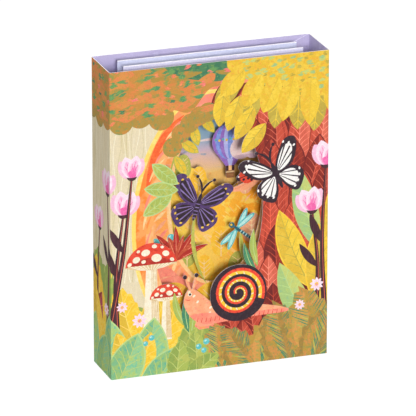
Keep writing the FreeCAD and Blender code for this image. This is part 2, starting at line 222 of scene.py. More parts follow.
def leaf(root: Vector, length: float, width: float, heading: float, bow: float = 0.0) -> Outline:
    """A pointed leaf from its root, bowed to the left by a share of its width."""
    return crescent(root, polar(root, length, heading), width * (0.5 + bow), width * (0.5 - bow))


def closed_curve(points: Outline, steps: int = 8) -> Outline:
    """A smooth closed curve through a few points, even in its bend as well as its slope.

    Args:
        points: the points it passes through, in order.
        steps: how many pieces each stretch is drawn in.

    Returns:
        The outline.
    """
    given = np.array([tuple(p) for p in points])
    after = np.roll(given, -1, axis=0)
    reach = np.linalg.norm(after - given, axis=1)
    count = len(given)
    system = np.zeros((count, count))
    pull = np.zeros((count, 2))
    for i in range(count):
        before = reach[i - 1]
        system[i, i - 1] += before
        system[i, i] += 2 * (before + reach[i])
        system[i, (i + 1) % count] += reach[i]
        pull[i] = 6 * ((after[i] - given[i]) / reach[i] - (given[i] - given[i - 1]) / before)
    bend = np.linalg.solve(system, pull)
    outline = []
    for i in range(count):
        j, h = (i + 1) % count, reach[i]
        for step in range(steps):
            b = h * step / steps
            a = h - b
            spot = (bend[i] * a ** 3 + bend[j] * b ** 3) / (6 * h)
            spot += (given[i] / h - bend[i] * h / 6) * a + (given[j] / h - bend[j] * h / 6) * b
            outline.append(at(*spot))
    return outline


def open_curve(points: Outline, steps: int = 6) -> Outline:
    """A smooth open curve through a few points.

    Args:
        points: the points it passes through, in order.
        steps: how many pieces each stretch is drawn in.

    Returns:
        The points of the curve.
    """
    ends = [points[0] * 2 - points[1]] + points + [points[-1] * 2 - points[-2]]
    curve = []
    for before, start, end, after in zip(ends, ends[1:], ends[2:], ends[3:]):
        for step in range(steps):
            t = step / steps
            curve.append((start * 2 + (end - before) * t + (before * 2 - start * 5 + end * 4 - after) * t * t
                          + (start * 3 - before - end * 3 + after) * t ** 3) / 2)
    return curve + [points[-1]]


def stroke(line: Outline, start_width: float, end_width: float, belly: float = 0.0) -> Outline:
    """A brush stroke along a line, whose width runs from its start to its end and swells by a belly between.

    Args:
        line: the points that the brush follows.
        start_width: its width at the first point.
        end_width: its width at the last point.
        belly: what is added halfway.

    Returns:
        The outline.
    """
    left, right = [], []
    last = len(line) - 1
    for i, spot in enumerate(line):
        along = (line[min(i + 1, last)] - line[max(i - 1, 0)]).normalized()
        half = (start_width + (end_width - start_width) * i / last + belly * math.sin(math.pi * i / last)) / 2
        side = at(-along.y, along.x) * half
        left.append(spot + side)
        right.append(spot - side)
    return right + left[::-1]


def grown(outline: Outline, amount: float) -> Outline:
    """An outline moved outward by an amount all round, for shapes without sharp hollows.

    Args:
        outline: the outline.
        amount: how far it moves.

    Returns:
        The larger outline.
    """
    area = sum(a.x * b.y - b.x * a.y for a, b in zip(outline, outline[1:] + outline[:1]))
    sign = 1 if area > 0 else -1
    moved = []
    for i, spot in enumerate(outline):
        along = outline[(i + 1) % len(outline)] - outline[i - 1]
        moved.append(spot + at(along.y, -along.x).normalized() * amount * sign)
    return moved


def shrunk(outline: Outline, share: float, toward: Optional[Vector] = None) -> Outline:
    """An outline drawn smaller toward a point, or toward its own middle."""
    middle = toward or sum(outline, at(0, 0)) / len(outline)
    return [middle + (p - middle) * share for p in outline]


def toothed(outline: Outline, teeth: int, depth: float) -> Outline:
    """Cuts teeth into an outline whose halves both run toward its tip, so that they lean that way.

    Args:
        outline: a closed outline that starts at its root and turns back at its tip.
        teeth: how many teeth each half has.
        depth: how far a tooth stands out.

    Returns:
        The toothed outline.
    """
    closed = outline + outline[:1]
    reach = [0.0]
    for start, end in zip(closed, closed[1:]):
        reach.append(reach[-1] + (end - start).length)

    def spot(share: float, outward: float) -> Vector:
        """The point at a share of the way round, moved outward.

        Args:
            share: how far round it lies, from nought to one.
            outward: how far it is moved.

        Returns:
            The point.
        """
        goal = share * reach[-1]
        i = max(k for k in range(len(reach) - 1) if reach[k] <= goal + 1e-9)
        along = closed[i + 1] - closed[i]
        start = closed[i].lerp(closed[i + 1], (goal - reach[i]) / max(along.length, 1e-9))
        return start - at(-along.y, along.x).normalized() * outward

    area = sum(a.x * b.y - b.x * a.y for a, b in zip(closed, closed[1:]))
    sign = 1 if area > 0 else -1
    points = []
    for tooth in range(2 * teeth):
        lean = 0.72 if tooth < teeth else 0.28
        size = depth * (0.75 + 0.25 * (tooth % 3)) * sign
        points.append(spot(tooth / (2 * teeth), 0.0))
        points.append(spot((tooth + lean) / (2 * teeth), size))
    return points


def blot(middle: Vector, half_width: float, half_height: float, lean: float, chance: float) -> Outline:
    """An uneven dab of paint.

    Args:
        middle: its middle.
        half_width: about half its width.
        half_height: about half its height.
        lean: its turn, in degrees.
        chance: what makes it differ from others, from nought to one.

    Returns:
        The outline.
    """
    points = []
    for k in range(7):
        angle = 2 * math.pi * k / 7
        swell = 1.0 + 0.3 * math.sin(17.0 * chance + 2.3 * k)
        points.append(at(half_width * swell * math.cos(angle), half_height * swell * math.sin(angle)))
    return closed_curve(turned(points, middle, lean), 3)


def within(corners: np.ndarray, spots: np.ndarray) -> np.ndarray:
    """Tells which spots an outline runs round, also where it crosses itself.

    Args:
        corners: the outline's corners, one to a row.
        spots: the spots, one to a row.

    Returns:
        True for each spot inside.
    """
    across, up = spots[:, 0], spots[:, 1]
    (x0, y0), (x1, y1) = (corner.T[:, :, None] for corner in (corners, np.roll(corners, -1, axis=0)))
    left = (x1 - x0) * (up - y0) - (across - x0) * (y1 - y0) > 0
    rises = (y0 <= up) & (up < y1) & left
    falls = (y1 <= up) & (up < y0) & ~left
    return rises.sum(axis=0) != falls.sum(axis=0)


# Finishes


def feed(tree: Tree, node: bpy.types.Node, inputs: dict) -> None:
    """Links each input of a node, given by name or number, to a socket, or sets it to a value.

    Args:
        tree: the tree.
        node: the node.
        inputs: the sockets and values.
    """
    for key, value in inputs.items():
        if isinstance(value, Socket):
            tree.links.new(value, node.inputs[key])
        else:
            node.inputs[key].default_value = value


def new_node(tree: Tree, kind: str, inputs: Optional[dict] = None, **values: object) -> bpy.types.Node:
    """Adds a node to a tree.

    Args:
        tree: the tree.
        kind: the node's type.
        inputs: the socket or value that each input takes.
        **values: the node's own properties.

    Returns:
        The node.
    """
    node = tree.nodes.new(kind)
    for name, value in values.items():
        setattr(node, name, value)
    feed(tree, node, inputs or {})
    return node


def math_node(tree: Tree, operation: str, first: object, second: object) -> Socket:
    """Adds a sum, product or the like of two sockets or numbers and returns its result."""
    return new_node(tree, "ShaderNodeMath", {0: first, 1: second}, operation=operation).outputs[0]


def colour_mix(tree: Tree, mask: object, low: object, high: object, blend: str = "MIX") -> Socket:
    """Adds a mix of two colours by a mask and returns its result."""
    inputs = {0: mask, 6: low, 7: high}
    return new_node(tree, "ShaderNodeMix", inputs, data_type="RGBA", blend_type=blend).outputs[2]


def noise_node(tree: Tree, place: Socket, scale: object, detail: float) -> Socket:
    """Adds a noise pattern and returns its value."""
    inputs = {"Vector": place, "Scale": scale, "Detail": detail}
    return new_node(tree, "ShaderNodeTexNoise", inputs).outputs["Fac"]


def ramp_mask(tree: Tree, value: Socket, low: object, high: object) -> Socket:
    """Adds a soft step from nought to one between two values and returns it."""
    inputs = {"Value": value, "From Min": low, "From Max": high}
    return new_node(tree, "ShaderNodeMapRange", inputs, interpolation_type="SMOOTHSTEP").outputs["Result"]


def new_object(name: str, data: object) -> bpy.types.Object:
    """Makes an object and puts it in the scene.

    Args:
        name: its name.
        data: the mesh, lamp or camera that it shows.

    Returns:
        The object.
    """
    made = bpy.data.objects.new(name, data)
    bpy.context.scene.collection.objects.link(made)
    return made


class PaintGroup:
    """The node group that gives printed gouache its patches, specks and grain."""

    GRAIN_SIZE = 0.55
    GRAIN_RANGE = (0.3, 0.72)
    GRAIN_SHADE = (0.89, 0.89, 0.9, 1.0)
    FIBRE_SIZE = 0.22
    EDGE_SOFTNESS = 0.045
    BARE_LEVEL = 0.74
    COVER_LEVEL = 0.48
    SPECK_FINENESS = 2.6

    def __init__(self) -> None:
        """Builds the group once."""
        self.tree = bpy.data.node_groups.new("gouache", "ShaderNodeTree")
        sockets = (
            ("INPUT", "Color", ("Body", "Patch", "Speck")),
            ("INPUT", "Float", ("Patch Size", "Patch Cover", "Speck Cover")),
            ("INPUT", "Vector", ("Stretch",)),
            ("OUTPUT", "Color", ("Color",)),
            ("OUTPUT", "Float", ("Height",)),
        )
        for way, kind, names in sockets:
            for name in names:
                self.tree.interface.new_socket(name, in_out=way, socket_type=f"NodeSocket{kind}")
        self._wire()

    def _threshold(self, cover: Socket) -> Socket:
        """The noise value above which a share of the surface lies."""
        lowered = math_node(self.tree, "MULTIPLY", cover, self.COVER_LEVEL)
        return math_node(self.tree, "SUBTRACT", self.BARE_LEVEL, lowered)

    def _wire(self) -> None:
        """Wires patches over the body colour, specks over the patches and grain over all."""
        tree = self.tree
        given = new_node(tree, "NodeGroupInput").outputs
        result = new_node(tree, "NodeGroupOutput").inputs
        coords = new_node(tree, "ShaderNodeTexCoord").outputs["Object"]
        stretched = {0: coords, 1: given["Stretch"]}
        place = new_node(tree, "ShaderNodeVectorMath", stretched, operation="MULTIPLY").outputs[0]
        scale = math_node(tree, "DIVIDE", 1 / MM, given["Patch Size"])
        colour = given["Body"]
        for name, growth, detail in (("Patch", 1.0, 4.0), ("Speck", self.SPECK_FINENESS, 3.0)):
            pattern = noise_node(tree, place, math_node(tree, "MULTIPLY", scale, growth), detail)
            edge = self._threshold(given[f"{name} Cover"])
            mask = ramp_mask(tree, pattern, math_node(tree, "SUBTRACT", edge, self.EDGE_SOFTNESS),
                             math_node(tree, "ADD", edge, self.EDGE_SOFTNESS))
            colour = colour_mix(tree, mask, colour, given[name])
        grain = noise_node(tree, coords, 1 / (self.GRAIN_SIZE * MM), 2.0)
        shade = colour_mix(tree, ramp_mask(tree, grain, *self.GRAIN_RANGE), self.GRAIN_SHADE, PAPER_WHITE)
        tree.links.new(colour_mix(tree, 1.0, colour, shade, "MULTIPLY"), result["Color"])
        tree.links.new(noise_node(tree, coords, 1 / (self.FIBRE_SIZE * MM), 2.0), result["Height"])


@dataclass(frozen=True)
class Gouache:
    """A matte printed colour.

    Attributes:
        colours: the main colour, that of the broad patches and that of the small specks.
        size: how wide a patch is, in millimetres.
        cover: the share of the surface that the patches take.
        specks: the share that the specks take.
        stretch: how much finer the pattern is along each axis.
        wash: stops of a blended body colour, each a place in millimetres and a colour.
        along: the axis of the wash.
    """

    colours: str
    size: float
    cover: float = 0.4
    specks: float = 0.22
    stretch: tuple[float, float, float] = (1.0, 1.0, 1.0)
    wash: tuple[tuple[float, str], ...] = ()
    along: Axis = Axis.UP

    ROUGHNESS = 0.58
    SHINE = 0.32
    RELIEF = 0.12
    RELIEF_DEPTH = 0.03
    WASH_WANDER = 16.0
    WASH_PATCH = 22.0

    def _blended(self, tree: Tree) -> Socket:
        """Wires the wash and returns its colour.

        Args:
            tree: the material's tree.

        Returns:
            The blended colour.
        """
        coords = new_node(tree, "ShaderNodeTexCoord").outputs["Object"]
        split = new_node(tree, "ShaderNodeSeparateXYZ", {0: coords})
        drift = math_node(tree, "SUBTRACT", noise_node(tree, coords, 1 / (self.WASH_PATCH * MM), 3.0), 0.5)
        spot = math_node(tree, "MULTIPLY", split.outputs[self.along.value], 1 / MM)
        spot = math_node(tree, "ADD", spot, math_node(tree, "MULTIPLY", drift, self.WASH_WANDER))
        first, last = self.wash[0][0], self.wash[-1][0]
        share = math_node(tree, "DIVIDE", math_node(tree, "SUBTRACT", spot, first), last - first)
        ramp = new_node(tree, "ShaderNodeValToRGB", {0: share})
        stops = ramp.color_ramp.elements
        for i, (place, colour) in enumerate(self.wash):
            stop = stops[i] if i < 2 else stops.new(1.0)
            stop.position = (place - first) / (last - first)
            stop.color = linear(colour)
        return ramp.outputs[0]

    def material(self, name: str, paint: PaintGroup) -> bpy.types.Material:
        """Makes the material.

        Args:
            name: what to call it.
            paint: the shared group.

        Returns:
            The material.
        """
        made = bpy.data.materials.new(name)
        made.use_nodes = True
        tree = made.node_tree
        body, patch, speck = (linear(colour) for colour in self.colours.split())
        inputs = {
            "Body": body, "Patch": patch, "Speck": speck,
            "Patch Size": self.size, "Patch Cover": self.cover, "Speck Cover": self.specks,
            "Stretch": self.stretch,
        }
        mottle = new_node(tree, "ShaderNodeGroup", inputs, node_tree=paint.tree)
        if self.wash:
            feed(tree, mottle, {"Body": self._blended(tree)})
        relief = {"Strength": self.RELIEF, "Distance": self.RELIEF_DEPTH * MM, "Height": mottle.outputs["Height"]}
        bump = new_node(tree, "ShaderNodeBump", relief)
        feed(tree, tree.nodes["Principled BSDF"], {
            "Base Color": mottle.outputs["Color"], "Normal": bump.outputs["Normal"],
            "Roughness": self.ROUGHNESS, "Specular IOR Level": self.SHINE,
        })
        return made


UPRIGHT = (1.0, 1.0, 0.16)
LEVEL = (0.3, 1.0, 1.0)
LEVEL_SOFT = (0.55, 0.55, 1.0)


class Ink(Enum):
    """The card's printed colours and its bare board."""

    LAVENDER = Gouache("C0B7D9 BBB2D6 C5BEDE", 14.0)
    LILAC = Gouache("DDDBEF D8D6EC E1DFF2", 14.0)
    PALE_LILAC = Gouache("D0D4EC CBCFE9 D5D9F0", 14.0)
    CUT_EDGE = Gouache("FAF8FB F3F0F6 FEFDFE", 3.0)
    BACK_BOARD = Gouache("D3CBE8 D1C9E6 D6CEEA", 18.0)
    CREAM = Gouache("E4D5B2 DECEA5 E9DDC0", 7.0, 0.35, stretch=UPRIGHT)
    CREAM_LINE = Gouache("F1E8CE ECE2C3 F5EDDA", 3.0, stretch=UPRIGHT)
    CREAM_SHADE = Gouache("D6C79A CFBF8F DED1AA", 3.0, stretch=UPRIGHT)
    GLOW = Gouache("F0826A F59468 E87268", 6.0, 0.45)
    CANOPY = Gouache("C68C3F DA8444 949549", 6.5, 0.46, 0.3, stretch=LEVEL_SOFT)
    CANOPY_DEEP = Gouache("AF8C3E C5893F 849250", 5.0, 0.42, 0.3)
    CANOPY_WARM = Gouache("D98F48 E0834C BE9446", 4.5, 0.45, 0.3)
    CANOPY_GREEN = Gouache("6A9A58 558E5C 8CA455", 2.4, 0.45)
    CANOPY_DUSK = Gouache("4E8258 3F7656 6E9654", 4.0, 0.45, 0.3)
    CORAL = Gouache("E98055 EC8F5E DE6A50", 2.5)
    ROSE = Gouache("EE7C72 F08C80 E66A66", 2.5)
    YELLOW = Gouache("E8BC34 EDC742 EAB03A", 5.0, 0.45, 0.3)
    AMBER = Gouache("F3B440 F6BE4E ECA63A", 5.0, 0.45, 0.3)
    YELLOW_LEAF = Gouache("ECC63A F1CF46 E2B93A", 4.5, 0.45)
    YELLOW_SHADE = Gouache("DEB638 E5C040 D2AC3C", 4.5, 0.45)
    YELLOW_OLIVE = Gouache("BEA540 C9B148 AC9A4A", 4.0, 0.45)
    PALE_GREEN = Gouache("C3CD72 B8CA7A D0D26C", 2.5)
    MEADOW = Gouache("A6C47A 98BE86 B8CA70", 2.5)
    LIME_LINE = Gouache("BBD58A AED192 C8D880", 2.5)
    ORANGE = Gouache("FF9A48 FFA35A FF9048", 8.0, 0.42, along=Axis.ACROSS, wash=(
        (-46.0, "F9852E"), (-30.0, "FF9A58"), (-8.0, "FC8E78"), (8.0, "EE6A54"), (26.0, "D04C38"),
    ))
    ORANGE_PALE = Gouache("FFB070 FFB87C FFA260", 6.0, 0.42, along=Axis.ACROSS, wash=(
        (-44.0, "FFA850"), (-26.0, "FFB074"), (-6.0, "FF9C88"), (10.0, "F07860"), (26.0, "DC5A44"),
    ))
    EMBER = Gouache("F4622E F8763A EA5230", 4.0, 0.4)
    GOLD_LINE = Gouache("FFD768 FFDF80 FCCD50", 3.0)
    BRICK = Gouache("BC4330 C94F39 A83828", 3.2, 0.45, 0.35, stretch=UPRIGHT)
    BRICK_DARK = Gouache("84271D 963222 721D19", 2.5, 0.45, stretch=UPRIGHT)
    BRICK_WARM = Gouache("C84E38 D25A42 B84430", 3.0, 0.45, 0.3, stretch=UPRIGHT)
    MAROON_DEEP = Gouache("6A1E1C 78261F 5A1818", 2.5, 0.45, stretch=UPRIGHT)
    BRICK_LIGHT = Gouache("D4604A DE6E56 C65440", 2.5, 0.45, stretch=UPRIGHT)
    TEAL_LEAF = Gouache("96C88E AECA76 7CC29A", 7.0, 0.5, 0.32)
    TEAL_SHADE = Gouache("7EB886 98BE74 68B294", 6.0, 0.5, 0.3)
    FRESH_LEAF = Gouache("A9B958 B9BF5E 93B25C", 5.0, 0.45)
    FRESH_SHADE = Gouache("90A650 A0AC54 7C9E54", 5.0, 0.45)
    OLIVE = Gouache("B8933E CC8E48 96944C", 3.8, 0.5, 0.32)
    OLIVE_LIGHT = Gouache("C69C48 D6984E A8A052", 3.6, 0.5, 0.32)
    OLIVE_DEEP = Gouache("9E803C B48842 848048", 3.4, 0.5, 0.3)
    GREEN_STROKE = Gouache("4E8C62 3E8066 6E9A58", 1.6)
    MAROON = Gouache("A83C50 B84A58 8E3048", 4.0)
    STEM = Gouache("42222A 4E2C34 341A20", 2.0, stretch=UPRIGHT)
    PINK = Gouache("F066A8 F27AB4 E8569C", 1.6)
    ROSE_PINK = Gouache("F48FBE F6A0C8 F080B4", 2.0)
    BLUSH = Gouache("F5BCD6 F7C9DE F2AECE", 2.5)
    PETAL = Gouache("FADDE9 FBE6EF F7D0E1", 2.5)
    CAP_RED = Gouache("E0402C E84E36 D03426", 4.0, 0.45)
    CAP_DEEP = Gouache("B42E24 C0382C A42420", 3.0)
    CAP_LIGHT = Gouache("F0664A F4745A E85A40", 3.0)
    IVORY = Gouache("F7ECD2 F2E4C4 FBF5E6", 2.5)
    SAND = Gouache("E4CA9C DCBC8A EDD8B2", 2.5)
    PEACH = Gouache("F9A67A FBB288 F4986C", 3.0)
    BLACK = Gouache("2E1E28 382830 241620", 1.8)
    WHITE = Gouache("F4F0EA FBF8F4 EAE4DE", 2.0)
    SCARLET = Gouache("EE4A32 F25C3E E03C2C", 2.0)
    SUN_YELLOW = Gouache("F6C836 F9D452 EEB930", 2.5)
    VIOLET_DARK = Gouache("52396A 604878 422E56", 2.2, 0.4)
    VIOLET_LINE = Gouache("8A74AE 9A84BC 7864A0", 1.5)
    TURQUOISE = Gouache("5CBFC0 74CCC8 46AEB4", 1.6)
    TURQUOISE_PALE = Gouache("B4E4DC C8EEE6 A0DAD4", 1.2)
    TEAL_DARK = Gouache("25606E 2E6E7A 1E5260", 1.2)
    ARCH = Gouache("FFA45C FFB270 FF945E", 7.0, 0.45, wash=(
        (26.0, "FC9070"), (52.0, "FE9A64"), (86.0, "FFA850"), (120.0, "FFA256"), (150.0, "FF9670"),
    ))
    ARCH_RIM = Gouache("FFCB88 FFD59A FFBE78", 3.0)
    SALMON = Gouache("FB8C74 FC9A7E F47C6C", 5.0, 0.45)
    RUST = Gouache("C24E32 CE5E3C B0402A", 1.6)
    RUST_LIGHT = Gouache("F0906E F0977A DE7858", 1.6)
    BUSH = Gouache("FFC636 FFD04C FFB830", 4.0, 0.45)
    VEIN = Gouache("FDD699 FEE0AE FACC88", 1.6)
    # The near and far hill washes deepen from yellow at the left to orange at the right: the hills' own warm print,
    # with painted shade where the cover's right window rim shadows the inside of the window.
    NEAR_HILL = Gouache("FFCC42 FFD856 FFC23A", 5.0, 0.4, 0.2, along=Axis.ACROSS, wash=(
        (-34.0, "FFDE5E"), (-10.0, "FFD24C"), (6.0, "FFC03A"), (22.0, "FFA826"),
    ))
    FAR_HILL = Gouache("FFC044 FFD05A FFB63A", 5.0, 0.4, 0.2, along=Axis.ACROSS, wash=(
        (-20.0, "FFDC6A"), (6.0, "FFCC54"), (18.0, "FFB838"), (30.0, "FFA222"),
    ))
    HAZE = Gouache("FFCA72 FFD488 FFBC60", 6.0)
    HAZE_PINK = Gouache("FBB48C FCC09A F6A67E", 5.0)
    MOSS = Gouache("BCBC54 C6C45C ACB04C", 2.4)
    SKY = Gouache("7C9CAC A4B4C6 8CA6BC", 7.0, 0.16, 0.1, stretch=LEVEL, wash=(
        (84.0, "FFD03A"), (100.0, "FFD45C"), (109.0, "F6C8A4"), (116.0, "D9BECC"), (124.0, "A2B8CC"),
        (138.0, "74A6BE"),
    ))
    CLOUD = Gouache("F8D8D2 FAE2DC F2CACA", 3.5)
    CLOUD_SHADE = Gouache("E6C4CE E0BCC8 ECCED4", 3.0)
    BLUE = Gouache("8098E2 90A8EA 708AD8", 2.2)
    VIOLET = Gouache("9C70C6 A880CE 8E62BA", 2.2)
    PERIWINKLE = Gouache("BCBEF4 CACCF6 ACB0EC", 2.2)
    WICKER = Gouache("96623A A87446 825030", 1.0, stretch=LEVEL)


class Palette:
    """Makes each ink's material once."""

    def __init__(self) -> None:
        """Starts with no materials and the shared paint group."""
        self.paint = PaintGroup()
        self.made: dict[Ink, bpy.types.Material] = {}

    def material(self, ink: Ink) -> bpy.types.Material:
        """The material of an ink.

        Args:
            ink: the ink.

        Returns:
            The material, the same one each time.
        """
        if ink not in self.made:
            self.made[ink] = ink.value.material(ink.name.lower(), self.paint)
        return self.made[ink]


# Printing on the board


Cell = tuple[list[int], Ink]


@dataclass
class Layer:
    """One flat shape of a picture.

    Attributes:
        piece: the printed piece that it belongs to.
        ink: its colour.
        outline: its outline.
        name: what later shapes call it when they stay within it.
        on: the name of the shape that it stays within, if any.
    """

    piece: str
    ink: Ink
    outline: Outline
    name: str
    on: str


@dataclass
class Picture:
    """The shapes printed on one sheet, from the lowest to the highest.

    Attributes:
        layers: the shapes.
        piece: the printed piece that the next shapes belong to.
    """

    layers: list[Layer] = field(default_factory=list)
    piece: str = ""

    def begin(self, piece: str) -> None:
        """Names the piece that the next shapes belong to."""
        self.piece = piece

    def lay(self, ink: Ink, outline: Outline, name: str = "", on: str = "") -> None:
        """Lays a shape over what is there.

        Args:
            ink: its colour.
            outline: its outline.
            name: what later shapes call it.
            on: the shape that it stays within.
        """
        area = sum(a.x * b.y - b.x * a.y for a, b in zip(outline, outline[1:] + outline[:1]))
        points = outline if area > 0 else outline[::-1]
        self.layers.append(Layer(self.piece, ink, points, name or on, on))


@dataclass(frozen=True)
class FlatGround:
    """The front of a flat sheet.

    Attributes:
        node: the sheet's name.
        y: where its face lies, in millimetres.
    """

    node: str
    y: float

    FACING = 0.9
    SLACK = 0.05

    def stamp(self) -> list[Outline]:
        """The printed face's own triangles, as flat outlines.

        Returns:
            The outlines.
        """
        mesh = frame["nodes"][self.node].data
        stamps = []
        for face in mesh.polygons:
            if face.normal.y < -self.FACING and abs(face.center.y / MM - self.y) < self.SLACK:
                corners = [mesh.vertices[i].co / MM for i in face.vertices]
                stamps.append([at(c.x, c.z) for c in corners])
        return stamps

    def guides(self) -> list[Outline]:
        """The lines at which the print bends."""
        return []

    def place(self, spot: Vector, lift: float) -> Vector:
        """The point in space over a flat point."""
        return Vector((spot.x, self.y - lift, spot.y)) * MM

    def edges(self, width: float) -> list[Outline]:
        """A line along the face's top and one along each side.

        Args:
            width: how wide each line is.

        Returns:
            The lines' outlines.
        """
        corners = np.array([tuple(p) for outline in self.stamp() for p in outline])
        (left, low), (right, high) = corners.min(axis=0), corners.max(axis=0)
        sides = [box(left, left + width, low, high), box(right - width, right, low, high)]
        return [box(left, right, high - width, high)] + sides


@dataclass(frozen=True)
class CoverGround(FlatGround):
    """The outside of the cover: the front and, past each fold, the side walls up to the back."""

    FOLD_STEPS = 6
    RIGHT_INSET = 0.37

    def _flat_half(self) -> float:
        """Half the width of the flat front between its two folds."""
        return WIDTH / 2 - FOLD_RADIUS

    def _wall(self, side: Side) -> float:
        """The length of a side wall between its folds."""
        inset = self.RIGHT_INSET if side is Side.RIGHT else 0.0
        return DEPTH - 2 * FOLD_RADIUS - inset

    def stamp(self) -> list[Outline]:
        """The front's own triangles, and a strip for each fold and wall.

        Returns:
            The outlines.
        """
        stamps = super().stamp()
        for side in Side:
            near = self._flat_half()
            far = near + math.pi * FOLD_RADIUS + self._wall(side)
            stamps.append(box(*sorted((side.value * near, side.value * far)), 0, HEIGHT))
        return stamps

    def guides(self) -> list[Outline]:
        """Upright lines along the folds, close enough to draw them round.

        Returns:
            The lines, each as its two ends.
        """
        lines = []
        for side in Side:
            near = self._flat_half()
            turn = math.pi / 2 * FOLD_RADIUS
            for start in (near, near + turn + self._wall(side)):
                for step in range(self.FOLD_STEPS + 1):
                    across = side.value * (start + turn * step / self.FOLD_STEPS)
                    lines.append([at(across, 0), at(across, HEIGHT)])
        return lines

    def place(self, spot: Vector, lift: float) -> Vector:
        """The point in space over a flat point, round the folds.

        Args:
            spot: the flat point.
            lift: how far over the board it lies.

        Returns:
            The point, in metres.
        """
        side = Side.RIGHT if spot.x > 0 else Side.LEFT
        reach = abs(spot.x) - self._flat_half()
        if reach <= 0:
            return super().place(spot, lift)
        turn = math.pi / 2 * FOLD_RADIUS
        wall = self._wall(side)
        front = self.y + FOLD_RADIUS
        radius = FOLD_RADIUS + lift
        if reach <= turn:
            angle = reach / FOLD_RADIUS
            across, back = self._flat_half() + radius * math.sin(angle), front - radius * math.cos(angle)
        elif reach <= turn + wall:
            across, back = self._flat_half() + radius, front + reach - turn
        else:
            angle = min((reach - turn - wall) / FOLD_RADIUS, math.pi / 2)
            across, back = self._flat_half() + radius * math.cos(angle), front + wall + radius * math.sin(angle)
        return Vector((side.value * across, back, spot.y)) * MM


class Printer:
    """Cuts a picture to its board and makes a thin closed piece of each part of it."""

    TOLERANCE = 1e-5

    def __init__(self, palette: Palette) -> None:
        """Keeps the palette that the pieces are dressed from."""
        self.palette = palette

    def _settle(self, ground: FlatGround, picture: Picture) -> tuple[Outline, dict[str, list[Cell]]]:
        """Divides the board among the shapes, where the last shape laid shows.

        Args:
            ground: the board.
            picture: the shapes.

        Returns:
            The corners, and for each piece its faces with their inks.
        """
        stamps = ground.stamp()
        corners: Outline = []
        edges: list[tuple[int, int]] = []
        for outline in stamps + [layer.outline for layer in picture.layers]:
            first, count = len(corners), len(outline)
            edges.extend((first + i, first + (i + 1) % count) for i in range(count))
            corners.extend(outline)
        for line in ground.guides():
            edges.append((len(corners), len(corners) + 1))
            corners.extend(line)
        spots, _, cells, *_ = delaunay_2d_cdt(corners, edges, [], 0, self.TOLERANCE, False)
        cells.sort(key=lambda cell: spots[cell[0]].x + spots[cell[1]].x + spots[cell[2]].x)
        middles = np.array([tuple((spots[a] + spots[b] + spots[c]) / 3) for a, b, c in cells])
        board = np.zeros(len(cells), dtype=bool)
        for outline in stamps:
            board[self._covered(outline, middles)] = True
        shown = np.full(len(cells), -1)
        called = {name: number for number, name in enumerate(dict.fromkeys(layer.name for layer in picture.layers))}
        names = np.array([called[layer.name] for layer in picture.layers])
        for index, layer in enumerate(picture.layers):
            covered = self._covered(layer.outline, middles)
            if layer.on:
                covered = covered[(shown[covered] >= 0) & (names[shown[covered]] == called.get(layer.on, -1))]
            shown[covered] = index
        shares: dict[str, list[Cell]] = {}
        for cell in np.flatnonzero(board & (shown >= 0)):
            layer = picture.layers[shown[cell]]
            shares.setdefault(layer.piece, []).append((list(cells[cell]), layer.ink))
        return spots, shares

    def _covered(self, outline: Outline, middles: np.ndarray) -> np.ndarray:
        """Finds the cells whose middles lie within an outline, where the middles run from left to right.

        Args:
            outline: the outline.
            middles: the cells' middles, one to a row.

        Returns:
            The cells' numbers.
        """
        corners = np.array([tuple(p) for p in outline])
        (left, low), (right, high) = corners.min(axis=0), corners.max(axis=0)
        first, last = np.searchsorted(middles[:, 0], (left, right))
        near = first + np.flatnonzero((middles[first:last, 1] > low) & (middles[first:last, 1] < high))
        return near[within(corners, middles[near])]

    def print(self, ground: FlatGround, picture: Picture) -> None:
        """Makes the pieces of a picture and rides them on the card.

        Args:
            ground: the board.
            picture: the shapes.
        """
        spots, shares = self._settle(ground, picture)
        for name, cells in shares.items():
            shell = bmesh.new()
            made: dict[int, bmesh.types.BMVert] = {}
            inks: list[Ink] = []
            for cell, ink in cells:
                for index in cell:
                    if index not in made:
                        made[index] = shell.verts.new(ground.place(spots[index], INK_LIFT))
                face = shell.faces.new([made[index] for index in cell])
                if ink not in inks:
                    inks.append(ink)
                face.material_index = inks.index(ink)
            shell.normal_update()
            bmesh.ops.solidify(shell, geom=shell.faces[:], thickness=(INK_LIFT + INK_SINK) * MM)
            mesh = bpy.data.meshes.new(name)
            shell.to_mesh(mesh)
            shell.free()
            for ink in inks:
                mesh.materials.append(self.palette.material(ink))
            piece = new_object(name, mesh)
            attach(piece, BODY)
            frame_slot(ground.node)
            log.info("%s: %d faces, %d inks", name, len(mesh.polygons), len(inks))


def frame_slot(node: str) -> str:
    """The record's material slot of a node."""
    return next(part["material_slot"] for part in frame["record"]["subparts"] if part["node"] == node)


@dataclass(frozen=True)
class Window:
    """An oval window, placed by the board that is left round it."""

    left: float
    right: float
    below: float
    above: float
    lean: float = 0.0

    @property
    def middle(self) -> Vector:
        """The middle of the oval."""
        return at((self.left - self.right) / 2, (self.below + HEIGHT - self.above) / 2)

    @property
    def half_width(self) -> float:
        """Half the oval's width."""
        return (WIDTH - self.left - self.right) / 2

    @property
    def half_height(self) -> float:
        """Half the oval's height."""
        return (HEIGHT - self.below - self.above) / 2

    def rim(self, angle: float, outward: float = 0.0) -> Vector:
        """The point at an angle of the rim, moved outward.

        Args:
            angle: the angle, in degrees.
            outward: how far it is moved.

        Returns:
            The point.
        """
        turn = math.radians(angle)
        local = at(self.half_width * math.cos(turn), self.half_height * math.sin(turn))
        return polar(turned([local], self.middle, self.lean)[0], outward, angle)

    def ring(self, growth: float, shift: Vector = Vector((0.0, 0.0))) -> Outline:
        """The oval grown by an amount all round, and moved."""
        return oval(self.middle + shift, self.half_width + growth, self.half_height + growth, self.lean, 96)

    def low(self) -> float:
        """The height of the window's lower end."""
        return self.middle.y - self.half_height


# Figures


